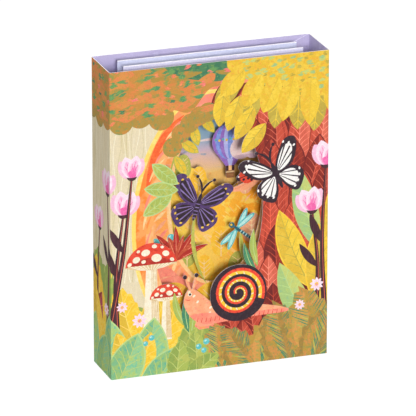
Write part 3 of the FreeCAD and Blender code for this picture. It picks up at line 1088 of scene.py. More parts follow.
@dataclass(frozen=True)
class LeafLook:
    """How a leaf is painted.

    Attributes:
        ink: its colour.
        vein: the colour of its midrib and ribs.
        outline: the colour of a band round it, if it has one.
        shade: the colour of the half that lies in shade, if it has one.
        ribs: how many pairs of ribs it has.
        vein_width: how wide a rib is.
        outline_width: how wide the band is.
        teeth: how many teeth each side has.
        tooth_depth: how far a tooth stands out.
    """

    ink: Ink
    vein: Ink
    outline: Optional[Ink] = None
    shade: Optional[Ink] = None
    ribs: int = 4
    vein_width: float = 0.5
    outline_width: float = 1.0
    teeth: int = 0
    tooth_depth: float = 1.0

    def _edge(self, shape: Outline) -> Outline:
        """The leaf's edge, with its teeth."""
        return toothed(shape, self.teeth, self.tooth_depth) if self.teeth else shape

    def paint(self, picture: Picture, root: Vector, length: float, width: float, heading: float,
              bow: float = 0.0) -> None:
        """Paints a leaf with a midrib and slanted ribs.

        Args:
            picture: the picture.
            root: where the leaf grows.
            length: its length.
            width: its width.
            heading: where its tip points, in degrees.
            bow: the share of its width by which it bows to the left.
        """
        name = f"leaf {len(picture.layers)}"
        shape = leaf(root, length, width, heading, bow)
        inner = grown(shape, 0.15)
        if self.outline:
            picture.lay(self.outline, self._edge(inner), f"{name} rim")
            root = polar(root, self.outline_width, heading)
            length, width = length - 2.4 * self.outline_width, width - 2 * self.outline_width
            inner = leaf(root, length, width, heading, bow)
        picture.lay(self.ink, self._edge(inner), name)
        if self.shade:
            half = crescent(root, polar(root, length, heading), width * (0.5 + bow), -width * bow)
            picture.lay(self.shade, half, on=name)
        side = at(-math.sin(math.radians(heading)), math.cos(math.radians(heading)))
        spine = [polar(root, length * t, heading) + side * (4 * t * (1 - t) * width * bow)
                 for t in (0.0, 0.2, 0.4, 0.6, 0.8, 0.97)]
        picture.lay(self.vein, stroke(open_curve(spine, 3), self.vein_width * 1.5, self.vein_width * 0.5), on=name)
        for rib in range(self.ribs):
            t = 0.16 + 0.62 * rib / max(1, self.ribs - 1)
            start = polar(root, length * t, heading) + side * (4 * t * (1 - t) * width * bow)
            for turn in (1, -1):
                end = polar(start, width * 0.62, heading + turn * 48)
                bend = (start + end) / 2 + polar(at(0, 0), width * 0.05, heading)
                picture.lay(self.vein, stroke([start, bend, end], self.vein_width, self.vein_width * 0.35), on=name)


@dataclass(frozen=True)
class ButterflyLook:
    """A butterfly seen from above, and how its wings are painted."""

    wing: float
    tilt: float
    ground: Ink
    panel: Ink
    streak: Ink
    spot: Ink
    body: Ink

    UPPER = ((0.03, 0.05), (0.16, 0.42), (0.46, 0.78), (0.8, 0.98), (1.0, 0.9), (0.95, 0.58), (0.74, 0.26), (0.4, 0.06))
    LOWER = ((0.03, 0.04), (0.4, 0.07), (0.7, -0.04), (0.82, -0.34), (0.66, -0.62), (0.42, -0.78), (0.22, -0.6),
             (0.08, -0.26))

    def paint(self, picture: Picture, middle: Vector) -> None:
        """Paints the wings, their panels, streaks and spots, then the body and feelers.

        Args:
            picture: the picture.
            middle: the middle of the trunk.
        """
        tag = f"butterfly {len(picture.layers)}"
        for side in Side:
            def put(points: Iterable[tuple[float, float]]) -> Outline:
                """Places points given in wing lengths."""
                local = [at(side.value * self.wing * x, self.wing * z) for x, z in points]
                return turned(local, middle, self.tilt)

            for name, outline, spread in (("lower", self.LOWER, (-78.0, -12.0)), ("upper", self.UPPER, (22.0, 66.0))):
                wing_name = f"{tag} {name} {side.name}"
                shape = closed_curve(put(outline))
                picture.lay(self.ground, grown(shape, 0.25), name=wing_name)
                panel_name = f"{wing_name} panel"
                root = put([(0.05, 0.08)])[0]
                picture.lay(self.panel, shrunk(shape, 0.72, root.lerp(sum(shape, at(0, 0)) / len(shape), 0.55)),
                            name=panel_name, on=wing_name)
                for k in range(4):
                    angle = math.radians(spread[0] + (spread[1] - spread[0]) * (k + 0.5) / 4)
                    near = (0.16 * math.cos(angle), 0.06 + 0.16 * math.sin(angle))
                    far = (0.98 * math.cos(angle), 0.06 + 0.98 * math.sin(angle))
                    line = put([near, ((near[0] + far[0]) / 2, (near[1] + far[1]) / 2), far])
                    picture.lay(self.streak, stroke(line, self.wing * 0.02, self.wing * 0.055), on=panel_name)
                reach = 1.08 if name == "upper" else 0.78
                for k in range(5):
                    angle = math.radians(spread[0] - 4 + (spread[1] - spread[0] + 8) * (k + 0.5) / 5)
                    spot = put([(reach * math.cos(angle), 0.04 + reach * math.sin(angle))])[0]
                    dot = oval(spot, self.wing * 0.05, self.wing * 0.034, self.tilt + 20 * k, 10)
                    picture.lay(self.spot, dot, on=wing_name)
            root, tip = put([(0, 0.4), (0.3, 1.0)])
            bulges = side.value * self.wing * 0.12, side.value * self.wing * -0.05
            picture.lay(self.body, grown(crescent(root, tip, *bulges), 0.1), f"{tag} feeler")
            picture.lay(self.body, disc(tip, self.wing * 0.06), f"{tag} feeler")
        trunk = oval(at(0, 0), self.wing * 0.085, self.wing * 0.49)
        picture.lay(self.body, turned(trunk, middle, self.tilt), f"{tag} body")
        for k in range(5):
            band = oval(at(0, self.wing * (-0.38 + 0.12 * k)), self.wing * 0.09, self.wing * 0.016, 0, 12)
            picture.lay(self.streak, turned(band, middle, self.tilt), on=f"{tag} body")


def scatter(seed: int, count: int, left: float, right: float, low: float,
            high: float) -> Iterable[tuple[Vector, float]]:
    """Yields evenly jittered places in a rectangle, each with a number between nought and one.

    Args:
        seed: what the places are drawn from.
        count: about how many there are.
        left: the rectangle's left side.
        right: its right side.
        low: its foot.
        high: its top.

    Returns:
        Each place and its number.
    """
    chance = random.Random(seed)
    columns = max(1, round(math.sqrt(count * (right - left) / (high - low))))
    rows = max(1, round(count / columns))
    for row in range(rows):
        for column in range(columns):
            across = left + (right - left) * (column + chance.uniform(0.1, 0.9)) / columns
            up = low + (high - low) * (row + chance.uniform(0.1, 0.9)) / rows
            yield at(across, up), chance.random()


def pick(chance: float, *inks: Ink) -> Ink:
    """One of a few inks, by a number between nought and one."""
    return inks[int(chance * (len(inks) - 0.01))]


@dataclass
class FrontArt(Picture):
    """What is printed on the outside of the cover."""

    window: Window = Window(25.0, 38.6, 29.0, 28.0, -4.0)
    lobe_radius: float = 5.5
    lobe_angles: tuple[float, ...] = (98.0, 107.0, 117.0, 127.0, 138.0)
    hanging_length: float = 21.0
    hanging_width: float = 9.5
    hanging_root: float = 12.0
    hanging_angles: tuple[float, ...] = (84.0, 71.0, 58.0, 45.0)
    hanging_headings: tuple[float, ...] = (262.0, 250.0, 238.0, 228.0)
    side_leaf_length: float = 20.0
    side_leaf_width: float = 8.5
    side_leaf_angles: tuple[float, ...] = (174.0, 164.0, 154.0)
    side_leaf_headings: tuple[float, ...] = (32.0, 352.0, 318.0)
    butterfly_angle: float = 18.0
    butterfly_outward: float = 9.0
    large_cap: tuple[float, float, float] = (205.0, 3.0, 15.0)
    small_cap: tuple[float, float, float] = (229.0, 1.0, 9.5)
    cap_rise: float = 0.85
    cap_sag: float = 0.18
    stem_share: float = 0.24
    stem_foot: float = 20.0
    shell_angle: float = 311.0
    shell_radius: float = 16.5
    shell_turns: float = 2.6
    shell_phase: float = -20.0
    shell_marks: int = 44
    snail_foot_drop: float = 14.0
    snail_neck: float = 11.0
    feeler_length: float = 11.0
    feeler_width: float = 1.5
    blade_length: float = 22.0
    blade_width: float = 4.0
    blade_angles: tuple[float, ...] = (248.0, 256.0, 264.0, 332.0, 339.0)
    blade_headings: tuple[float, ...] = (108.0, 92.0, 74.0, 112.0, 96.0)
    reach: float = 97.0

    def drawn(self) -> Picture:
        """Draws the whole print, from its fields to its figures.

        Returns:
            The picture, which is the print itself.
        """
        for draw in (self._cream, self._ring, self._right_ground, self._red_leaves, self._right_leaves, self._canopy,
                     self._foliage, self._left_leaves, self._tulips, self._olive_leaves, self._side_leaves,
                     self._toadstools, self._undergrowth, self._daisies, self._blades, self._snail):
            draw()
        self.begin("front_butterfly")
        look = ButterflyLook(17.5, 24.0, Ink.BLACK, Ink.WHITE, Ink.BLACK, Ink.WHITE, Ink.BLACK)
        look.paint(self, self.window.rim(self.butterfly_angle, self.butterfly_outward))
        return self

    def _cream(self) -> None:
        """The cream ground with fine wavy lines."""
        self.begin("front_cream_field")
        self.lay(Ink.CREAM, box(-self.reach, self.reach, -1, HEIGHT + 1), "cream")
        for i in range(26):
            start = -96.0 + i * 2.1
            line = [at(start + 1.2 * math.sin(z / 11.0 + i * 1.1) + 0.6 * math.sin(z / 4.7 + i * 2.3), z)
                    for z in range(56, 160, 3)]
            self.lay(Ink.CREAM_LINE if i % 2 else Ink.CREAM_SHADE, stroke(line, 0.6, 0.35), on="cream")

    def _ring(self) -> None:
        """The warm ring round the window, with a golden outline."""
        self.begin("front_ring")
        glow = [at(-30, 150), at(-16, 163), at(6, 172), at(30, 168), at(56, 172)]
        self.lay(Ink.GLOW, open_curve(glow) + [at(60, 120), at(0, 120), at(-30, 140)], "glow")
        self.lay(Ink.GOLD_LINE, self.window.ring(11.6, at(-1.0, 1.0)), "gold")
        self.lay(Ink.ORANGE, self.window.ring(9.8, at(-0.4, 0.6)), "ring")
        ember = [self.window.rim(angle, 6.4) for angle in range(118, 172, 6)]
        self.lay(Ink.EMBER, stroke(ember, 0.5, 0.5, 6.5), on="ring")
        self.lay(Ink.ORANGE_PALE, self.window.ring(4.4, at(-0.2, 0.3)), on="ring")
        for k, angle in enumerate(range(66, 266, 8)):
            line = [self.window.rim(angle + t * 15, 1.4 + 7.5 * t - 3.0 * t * t) for t in (0.0, 0.35, 0.7, 1.0)]
            self.lay((Ink.SALMON, Ink.ARCH_RIM, Ink.ORANGE)[k % 3], stroke(open_curve(line, 3), 0.2, 0.3, 1.3),
                     on="ring")

    def _right_ground(self) -> None:
        """The yellow ground at the right."""
        self.begin("front_right_leaves")
        ground = [at(44, -2), at(49, 30), at(53, 60), at(46, 92), at(47, 120), at(52, 150), at(50, 170)]
        self.lay(Ink.AMBER, open_curve(ground) + [at(self.reach, 170), at(self.reach, -2)], "ground")
        for spot, chance in scatter(14, 70, 44, 97, 20, 160):
            line = [spot, spot + at(0.6, 2.5), spot + at(1.6 * chance, 5 + 3 * chance)]
            self.lay(Ink.YELLOW if chance > 0.4 else Ink.PEACH, stroke(line, 0.1, 0.1, 0.9), on="ground")

    def _red_leaves(self) -> None:
        """The bank of upright brick-red leaves beside the window, row before row."""
        self.begin("front_red_leaves")
        bank = [at(12, -2), at(6, 30), at(12, 90), at(6, 140), at(2, 156), at(30, 166), at(58, 160), at(52, 130),
                at(47, 90), at(50, 50), at(47, -2)]
        self.lay(Ink.MAROON_DEEP, closed_curve(bank, 6), "bank")
        looks = (
            LeafLook(Ink.BRICK, Ink.BRICK_LIGHT, Ink.MAROON_DEEP, Ink.BRICK_DARK, 7, 0.45, 0.45),
            LeafLook(Ink.BRICK_WARM, Ink.CAP_LIGHT, Ink.BRICK_DARK, Ink.BRICK, 7, 0.45, 0.45),
            LeafLook(Ink.BRICK_DARK, Ink.BRICK, Ink.MAROON_DEEP, Ink.MAROON_DEEP, 7, 0.45, 0.45),
            LeafLook(Ink.BRICK_LIGHT, Ink.SALMON, Ink.BRICK_DARK, Ink.BRICK_WARM, 7, 0.45, 0.45),
        )
        order = (0, 2, 1, 0, 3, 1, 0, 2, 3, 1, 0)
        for row in range(9):
            up = 128.0 - 17.0 * row
            for column in range(5):
                across = 9.0 + 10.5 * column + 5.0 * (row % 2) - 0.03 * abs(up - 80)
                heading = 102.0 - 6.0 * column + 3.0 * (row % 2)
                look = looks[order[(3 * row + 4 * column) % len(order)]]
                look.paint(self, at(across, up), 37.0 - 2.0 * (column % 2), 14.5, heading, 0.06 * (2 - column))

    def _right_leaves(self) -> None:
        """The tall yellow leaves with lime outlines at the right."""
        self.begin("front_right_leaves")
        yellow = LeafLook(Ink.YELLOW_LEAF, Ink.YELLOW_OLIVE, Ink.SUN_YELLOW, Ink.YELLOW_SHADE, ribs=6,
                          outline_width=0.6)
        lime = LeafLook(Ink.PALE_GREEN, Ink.LIME_LINE, shade=Ink.MEADOW, ribs=6)
        for look, root, length, width, heading in (
            (lime, at(84, 40), 58, 15, 76), (yellow, at(92, 60), 58, 17, 100), (lime, at(58, 62), 52, 14, 104),
            (yellow, at(68, 54), 58, 17, 84), (yellow, at(54, 40), 52, 16, 112), (lime, at(76, 24), 50, 15, 94),
            (yellow, at(90, 20), 52, 17, 82), (yellow, at(64, 20), 58, 18, 96), (lime, at(56, 14), 48, 15, 116),
            (yellow, at(70, 8), 44, 16, 70),
        ):
            look.paint(self, root, length, width, heading, 0.1)

    def _canopy(self) -> None:
        """The rounded treetop at the upper left, dabbed with green and coral."""
        self.begin("front_canopy")
        for angle in self.lobe_angles:
            self.lay(Ink.CANOPY_DEEP, disc(self.window.rim(angle), self.lobe_radius + BLEED), "canopy")
        for across, up, radius in ((-34, 149.5, 7.5), (-46, 152, 7.5), (-57, 149, 7.0), (-69, 152, 8.0),
                                   (-81, 149, 7.0), (-93, 152, 8.0)):
            self.lay(Ink.CANOPY_DEEP, disc(at(across, up), radius), "canopy")
        self.lay(Ink.CANOPY_DEEP, box(-self.reach, -30, 149, HEIGHT + 1), "canopy")
        edge = [at(-self.reach, 155), at(-84, 151), at(-74, 157), at(-62, 152), at(-50, 156), at(-40, 150),
                at(-28, 153), at(-17, 151), at(-6, 163), at(4, 164), at(9, 171), at(13, HEIGHT + 1)]
        self.lay(Ink.CANOPY, open_curve(edge) + [at(-self.reach, HEIGHT + 1)], "canopy")
        dusk = [at(-34, HEIGHT + 1), at(-24, 172), at(-10, 168), at(2, 167), at(8, 172), at(12, HEIGHT + 1)]
        self.lay(Ink.CANOPY_DUSK, open_curve(dusk), on="canopy")
        for spot, chance in scatter(13, 34, -94, 8, 148, 176):
            patch = blot(spot, 5.5 + 3 * chance, 1.6 + 1.2 * chance, 16 * chance, chance)
            self.lay(Ink.CANOPY_WARM if chance > 0.45 else Ink.CANOPY_DEEP, patch, on="canopy")
        for spot, chance in scatter(11, 46, -96, 12, 147, 179):
            self._dab(pick(chance, Ink.CORAL, Ink.ROSE, Ink.OLIVE), spot, 2.2 + 2.0 * chance, 5, "canopy")
        for spot, chance in scatter(12, 34, -94, 4, 151, 178):
            self._dab(Ink.CANOPY_GREEN if chance > 0.3 else Ink.CANOPY_DUSK, spot, 2.6 + 2.4 * chance, 7, "canopy")

    def _dab(self, ink: Ink, middle: Vector, reach: float, strokes: int, on: str) -> None:
        """A loose cluster of short brush strokes.

        Args:
            ink: its colour.
            middle: its middle.
            reach: about how far it spreads.
            strokes: how many strokes it has.
            on: the shape that it stays within.
        """
        chance = random.Random(len(self.layers))
        lean = chance.uniform(-4.0, 26.0)
        for _ in range(strokes):
            spot = polar(middle, reach * 0.45 * chance.random(), chance.uniform(0.0, 360.0))
            half = reach * chance.uniform(0.3, 0.6)
            line = [polar(spot, -half, lean), spot + at(0, chance.uniform(-0.3, 0.3)), polar(spot, half, lean)]
            self.lay(ink, stroke(line, 0.15, 0.15, reach * chance.uniform(0.2, 0.34)), on=on)

    def _foliage(self) -> None:
        """The yellow foliage at the upper right, with pointed leaves that hang into the window."""
        self.begin("front_foliage")
        back = LeafLook(Ink.YELLOW_OLIVE, Ink.YELLOW_LEAF, ribs=3)
        for across, drop, heading in ((12, 170, 232), (22, 162, 250), (35, 160, 262), (46, 158, 268), (58, 156, 262),
                                      (72, 158, 276), (86, 156, 264)):
            back.paint(self, at(across, drop), 24, 11, heading)
        edge = [at(4, HEIGHT + 1), at(5, 173), at(14, 167), at(24, 162), at(36, 160), at(48, 155), at(62, 152),
                at(78, 155), at(self.reach, 151)]
        look = LeafLook(Ink.YELLOW_LEAF, Ink.YELLOW_OLIVE, shade=Ink.YELLOW_SHADE, ribs=3, vein_width=0.35)
        for angle, heading in zip(self.hanging_angles, self.hanging_headings):
            root = polar(self.window.rim(angle), -self.hanging_root, heading)
            look.paint(self, root, self.hanging_length, self.hanging_width, heading)
        self.lay(Ink.YELLOW, open_curve(edge) + [at(self.reach, HEIGHT + 1)], "foliage")
        front = LeafLook(Ink.YELLOW, Ink.YELLOW_SHADE, shade=Ink.YELLOW_LEAF, ribs=3, vein_width=0.35)
        for across, drop, length, heading in ((14, 172, 19, 226), (24, 168, 20, 240), (34, 166, 22, 246),
                                              (43, 166, 27, 256), (53, 166, 30, 268), (64, 164, 26, 280),
                                              (79, 166, 30, 262), (93, 164, 28, 274)):
            front.paint(self, at(across, drop), length, 11.5, heading)
        cover = [at(7, HEIGHT + 1), at(16, 171), at(30, 167), at(46, 164), at(62, 162), at(80, 164),
                 at(self.reach, 160)]
        self.lay(Ink.YELLOW, open_curve(cover) + [at(self.reach, HEIGHT + 1)], "foliage")
        for spot, chance in scatter(21, 110, 12, 97, 156, 178):
            ink = pick(chance, Ink.PALE_GREEN, Ink.MEADOW, Ink.YELLOW_OLIVE)
            self._dab(ink, spot, 3.4 - 1.4 * chance, 6, "foliage")

    def _left_leaves(self) -> None:
        """The leafy mound at the lower left, with golden leaves and a maroon one."""
        self.begin("front_left_leaves")
        mound = [at(-self.reach, 56), at(-86, 70), at(-76, 62), at(-66, 66), at(-56, 48), at(-42, 36), at(-24, 26),
                 at(-4, 20), at(10, -2)]
        self.lay(Ink.FRESH_SHADE, toothed(open_curve(mound) + [at(-self.reach, -2)], 22, 1.8), "mound")
        for spot, chance in scatter(31, 60, -97, -10, 0, 66):
            line = [spot, spot + at(0.8, 3 + 3 * chance), spot + at(2.0, 6 + 5 * chance)]
            ink = pick(chance, Ink.PALE_GREEN, Ink.SUN_YELLOW, Ink.FRESH_LEAF)
            self.lay(ink, stroke(line, 0.2, 0.3, 1.1), on="mound")
        gold = LeafLook(Ink.SUN_YELLOW, Ink.GOLD_LINE, shade=Ink.YELLOW_SHADE, ribs=4, teeth=7, tooth_depth=1.3)
        wall = LeafLook(Ink.MAROON, Ink.CORAL, shade=Ink.BRICK_DARK, ribs=4)
        for look, root, length, width, heading, bow in (
            (gold, at(-52, 6), 48, 21, 64, -0.1), (gold, at(-74, 14), 54, 18, 106, 0.1),
            (gold, at(-48, 14), 40, 17, 104, 0.08), (gold, at(-36, 8), 36, 16, 74, -0.08),
            (wall, at(-98, -6), 56, 20, 70, 0.1),
        ):
            look.paint(self, root, length, width, heading, bow)

    def _olive_leaves(self) -> None:
        """The olive leaves at the lower right, each with a fan of green strokes."""
        self.begin("front_olive_leaves")
        fans = ((at(2, -8), 34, 18, 96, 0), (at(30, -12), 44, 20, 128, 1), (at(96, -8), 50, 26, 112, 0),
                (at(80, -10), 54, 25, 84, 1), (at(24, -10), 40, 20, 74, 0), (at(44, -10), 46, 22, 104, 1),
                (at(66, -12), 56, 27, 108, 0), (at(52, -12), 44, 22, 66, 1))
        for root, length, width, heading, deep in fans:
            name = f"olive {len(self.layers)}"
            shape = toothed(leaf(root, length, width, heading, 0.1), 8, 2.2)
            self.lay(Ink.OLIVE_DEEP if deep else Ink.OLIVE, shape, name)
            tip = polar(root, length, heading)
            half = shrunk(crescent(root, tip, width * 0.6, width * -0.1), 0.86, tip.lerp(root, 0.4))
            self.lay(Ink.OLIVE if deep else Ink.OLIVE_LIGHT, half, on=name)
            for k in range(20):
                t = 0.1 + 0.042 * k
                start = polar(root, length * t, heading)
                for turn in (1, -1):
                    end = polar(start, width * (0.34 + 0.12 * (k % 3)), heading + turn * (24 + 2 * k))
                    line = [start.lerp(end, 0.14), start.lerp(end, 0.6), end]
                    self.lay(Ink.GREEN_STROKE if k % 4 else Ink.FRESH_LEAF, stroke(line, 0.15, 0.3, 0.45), on=name)

    def _daisies(self) -> None:
        """Small daisies and turquoise berries among the lower leaves."""
        self.begin("front_daisies")
        for middle, size in ((at(-47, 33), 4.4), (at(-57, 42), 3.4), (at(-71, 39), 4.0), (at(57, 42), 4.2),
                             (at(47, 31), 3.2), (at(73, 47), 3.8)):
            for k in range(9):
                self.lay(Ink.PETAL, leaf(middle, size, size * 0.42, 40 * k + 10), "petals")
                self.lay(Ink.BLUSH, stroke([middle, polar(middle, size * 0.75, 40 * k + 10)], 0.5, 0.1), on="petals")
            self.lay(Ink.SUN_YELLOW, disc(middle, size * 0.27), "eye")
            self.lay(Ink.PINK, disc(middle - at(0, size * 0.06), size * 0.13), on="eye")
        for middle, size in ((at(-8, 16), 1.9), (at(-12.5, 13.5), 1.7), (at(-9.5, 11), 1.6), (at(-40, 22), 1.7),
                             (at(-43.5, 19), 1.5)):
            self.lay(Ink.TURQUOISE, disc(middle, size), "berry")
            self.lay(Ink.TURQUOISE_PALE, oval(middle + at(-0.5, 0.5), size * 0.4, size * 0.28, 40), on="berry")

    def _side_leaves(self) -> None:
        """The small leaves that grow from the window's left rim."""
        self.begin("front_side_leaves")
        look = LeafLook(Ink.FRESH_LEAF, Ink.LIME_LINE, Ink.LIME_LINE, ribs=4, vein_width=0.35, outline_width=0.6)
        for angle, heading in zip(self.side_leaf_angles, self.side_leaf_headings):
            root = polar(self.window.rim(angle), -self.side_leaf_length * 0.4, heading)
            look.paint(self, root, self.side_leaf_length, self.side_leaf_width, heading)

    def _tulip(self, head: Vector, foot: Vector, sway: float, size: float, lean: float) -> None:
        """A pink tulip on a dark stem with a narrow leaf.

        Args:
            head: the foot of its bloom.
            foot: where its stem starts.
            sway: how far the stem bows to the right.
            size: the size of the bloom.
            lean: how far the bloom leans to the left, in degrees.
        """
        middle = head.lerp(foot, 0.5) + at(sway, 0)
        self.lay(Ink.STEM, stroke(open_curve([foot, middle, head], 8), 3.6, 1.3), "stem")
        light = open_curve([foot + at(0.5, 0), middle + at(0.4, 0), head + at(0.2, 0)], 8)
        self.lay(Ink.BRICK_LIGHT, stroke(light, 0.4, 0.2), on="stem")
        self.lay(Ink.STEM, leaf(middle, size * 1.7, size * 0.42, 90 + lean + 26, 0.1), "stem")
        base = head - at(0, size * 0.1)
        for turn in (32, -32):
            self.lay(Ink.BLUSH, leaf(base, size * 1.3, size * 0.76, 90 + lean + turn), f"petal {turn}")
            self.lay(Ink.ROSE_PINK, leaf(base, size * 0.8, size * 0.3, 90 + lean + turn), on=f"petal {turn}")
        for turn in (15, -15):
            self.lay(Ink.PETAL, leaf(base, size * 1.36, size * 0.78, 90 + lean + turn), f"petal {turn}")
            self.lay(Ink.BLUSH, leaf(base, size * 1.1, size * 0.5, 90 + lean + turn), on=f"petal {turn}")
            self.lay(Ink.ROSE_PINK, leaf(base, size * 0.78, size * 0.34, 90 + lean + turn), on=f"petal {turn}")
            for k in (-1, 0, 1):
                start = polar(base, size * 0.1, 90 + lean)
                end = polar(base, size * (0.98 - 0.12 * abs(k)), 90 + lean + turn + 11 * k)
                self.lay(Ink.PINK, stroke([start, start.lerp(end, 0.5), end], 0.9, 0.25), on=f"petal {turn}")
        self.lay(Ink.PINK, oval(polar(base, size * 0.24, 90 + lean), size * 0.27, size * 0.25), on="petal -15")
        left, right = base + at(-size * 0.3, size * 0.12), base + at(size * 0.3, size * 0.12)
        self.lay(Ink.STEM, crescent(left, right, -size * 0.05, size * 0.24), "cup")

    def _tulips(self) -> None:
        """Tulips on the left fold and at the right edge."""
        self.begin("front_tulips")
        for head, foot, sway, size, lean in (
            (at(-82, 84), at(-86, 20), -2.0, 10.0, 8.0),
            (at(-68, 108), at(-70, 22), 2.5, 11.0, 4.0),
            (at(-56, 96), at(-60, 24), -2.5, 11.0, -8.0),
            (at(-51, 117), at(-64, 30), 1.5, 10.0, 2.0),
            (at(54, 86), at(56, 18), 2.5, 11.0, 10.0),
            (at(62, 112), at(62, 20), -2.0, 11.5, -4.0),
            (at(76, 96), at(72, 18), 2.0, 10.5, -10.0),
        ):
            self._tulip(head, foot, sway, size, lean)

    def _toadstool(self, middle: Vector, radius: float) -> None:
        """A red toadstool with ivory spots, on a pale stem.

        Args:
            middle: the middle of the cap's lower edge.
            radius: half the cap's width.
        """
        tag = f"toadstool {len(self.layers)}"
        half = radius * self.stem_share
        foot = at(middle.x, self.stem_foot)
        stem = [middle - at(half * 0.8, 0), foot - at(half * 1.4, 0), foot + at(half * 1.4, 0),
                middle + at(half * 0.8, 0)]
        self.lay(Ink.IVORY, grown(stem, 0.1), f"{tag} stem")
        for k in range(4):
            across = half * (0.1 + 0.28 * k)
            line = [at(middle.x + across * 1.3, foot.y + 1), at(middle.x + across, (middle.y + foot.y) / 2),
                    at(middle.x + across * 0.85, middle.y)]
            self.lay(Ink.SAND, stroke(line, 0.9, 0.4), on=f"{tag} stem")
        left, right = middle - at(radius, 0), middle + at(radius, 0)
        dome = arc(left, middle + at(0, radius * self.cap_rise), right, 24)
        under = arc(right, middle - at(0, radius * self.cap_sag), left, 14)
        self.lay(Ink.SAND, grown(dome + under, BLEED), f"{tag} cap")
        brim = arc(right + at(0.4, 0.4), middle + at(0, radius * 0.02), left + at(-0.4, 0.4), 14)
        self.lay(Ink.CAP_RED, grown(dome, 0.25) + brim, f"{tag} red", on=f"{tag} cap")
        for k in range(11):
            across = radius * (-0.8 + 0.16 * k)
            start, end = middle + at(across * 0.35, -radius * 0.2), middle + at(across, 0.3)
            self.lay(Ink.IVORY, stroke([start, end], 0.25, 0.6), on=f"{tag} cap")
        shade = arc(left, middle + at(0, radius * 0.3), right, 20) + arc(right, middle + at(0, radius * 0.02), left, 14)
        self.lay(Ink.CAP_DEEP, shrunk(shade, 0.97), on=f"{tag} red")
        spots = ((-0.58, 0.26, 0.15), (-0.22, 0.5, 0.17), (0.2, 0.26, 0.2), (0.56, 0.4, 0.14), (0.12, 0.72, 0.1),
                 (-0.84, 0.1, 0.09), (-0.3, 0.16, 0.09), (0.8, 0.14, 0.09), (-0.5, 0.58, 0.07), (0.42, 0.66, 0.07))
        for across, up, size in spots:
            spot = oval(middle + at(across, up) * radius, radius * size, radius * size * 0.78, -40 * across)
            self.lay(Ink.IVORY, spot, on=f"{tag} red")

    def _toadstools(self) -> None:
        """The large and the small toadstool at the window's lower left."""
        self.begin("front_toadstools")
        for angle, outward, radius in (self.large_cap, self.small_cap):
            self._toadstool(self.window.rim(angle, outward), radius)

    def _undergrowth(self) -> None:
        """The broad teal leaves that hide the feet of the flowers and toadstools, and small green ones."""
        self.begin("front_broad_leaves")
        broad = LeafLook(Ink.TEAL_LEAF, Ink.PALE_GREEN, Ink.LIME_LINE, Ink.TEAL_SHADE, ribs=6, vein_width=0.5,
                         outline_width=0.7)
        small = LeafLook(Ink.FRESH_LEAF, Ink.PALE_GREEN, shade=Ink.FRESH_SHADE, ribs=4, teeth=8, tooth_depth=0.8)
        gold = LeafLook(Ink.SUN_YELLOW, Ink.GOLD_LINE, shade=Ink.YELLOW_SHADE, ribs=5, vein_width=0.5)
        for look, root, length, width, heading, bow in (
            (gold, at(-91, 2), 50, 17, 98, 0.08), (gold, at(-76, -8), 58, 19, 104, 0.08),
            (broad, at(-94, -8), 40, 18, 84, 0.08), (broad, at(-58, -10), 48, 22, 100, 0.06),
            (gold, at(-46, -8), 38, 15, 112, 0.06), (broad, at(-84, -12), 38, 20, 70, 0.06),
            (broad, at(-40, -12), 46, 21, 88, 0.06), (gold, at(-54, -12), 40, 15, 70, -0.08),
            (small, at(-19, -8), 38, 14, 88, 0.0), (broad, at(-66, -12), 42, 21, 64, -0.08),
            (broad, at(-48, -14), 38, 20, 50, -0.08), (small, at(-12, -7), 30, 13, 96, 0.0),
            (small, at(-22, -8), 26, 13, 38, 0.0), (small, at(-26, -8), 26, 12, 84, 0.0),
        ):
            look.paint(self, root, length, width, heading, bow)

    def _blades(self) -> None:
        """The grass at the window's lower rim."""
        self.begin("front_grass")
        for k, (angle, heading) in enumerate(zip(self.blade_angles, self.blade_headings)):
            root = polar(self.window.rim(angle), -self.blade_length * 0.4, heading)
            name = f"blade {len(self.layers)}"
            shape = grown(leaf(root, self.blade_length, self.blade_width, heading, 0.4), BLEED)
            self.lay(Ink.GREEN_STROKE if k % 2 else Ink.FRESH_LEAF, shape, name)
            line = [polar(root, self.blade_length * t, heading)
                    + polar(at(0, 0), 1.5 * math.sin(math.pi * t), heading + 90) for t in (0.1, 0.5, 0.9)]
            self.lay(Ink.LIME_LINE, stroke(open_curve(line, 4), 0.5, 0.2), on=name)

    def _spiral(self, middle: Vector, start: float, end: float, turns: float, phase: float, share: float) -> Outline:
        """A band that winds inward, whose width is a share of its pitch.

        Args:
            middle: its middle.
            start: the outer radius.
            end: the inner radius.
            turns: how often it winds round.
            phase: the angle that it starts at, in degrees.
            share: the share of its pitch.

        Returns:
            The outline.
        """
        outer, inner = [], []
        steps = int(26 * turns)
        for i in range(steps + 1):
            t = i / steps
            radius = start + (end - start) * t
            half = (start - end) / turns * share * (1 - 0.55 * t) / 2
            angle = phase + 360 * turns * t
            outer.append(polar(middle, radius + half, angle))
            inner.append(polar(middle, max(0.05, radius - half), angle))
        return outer + inner[::-1]

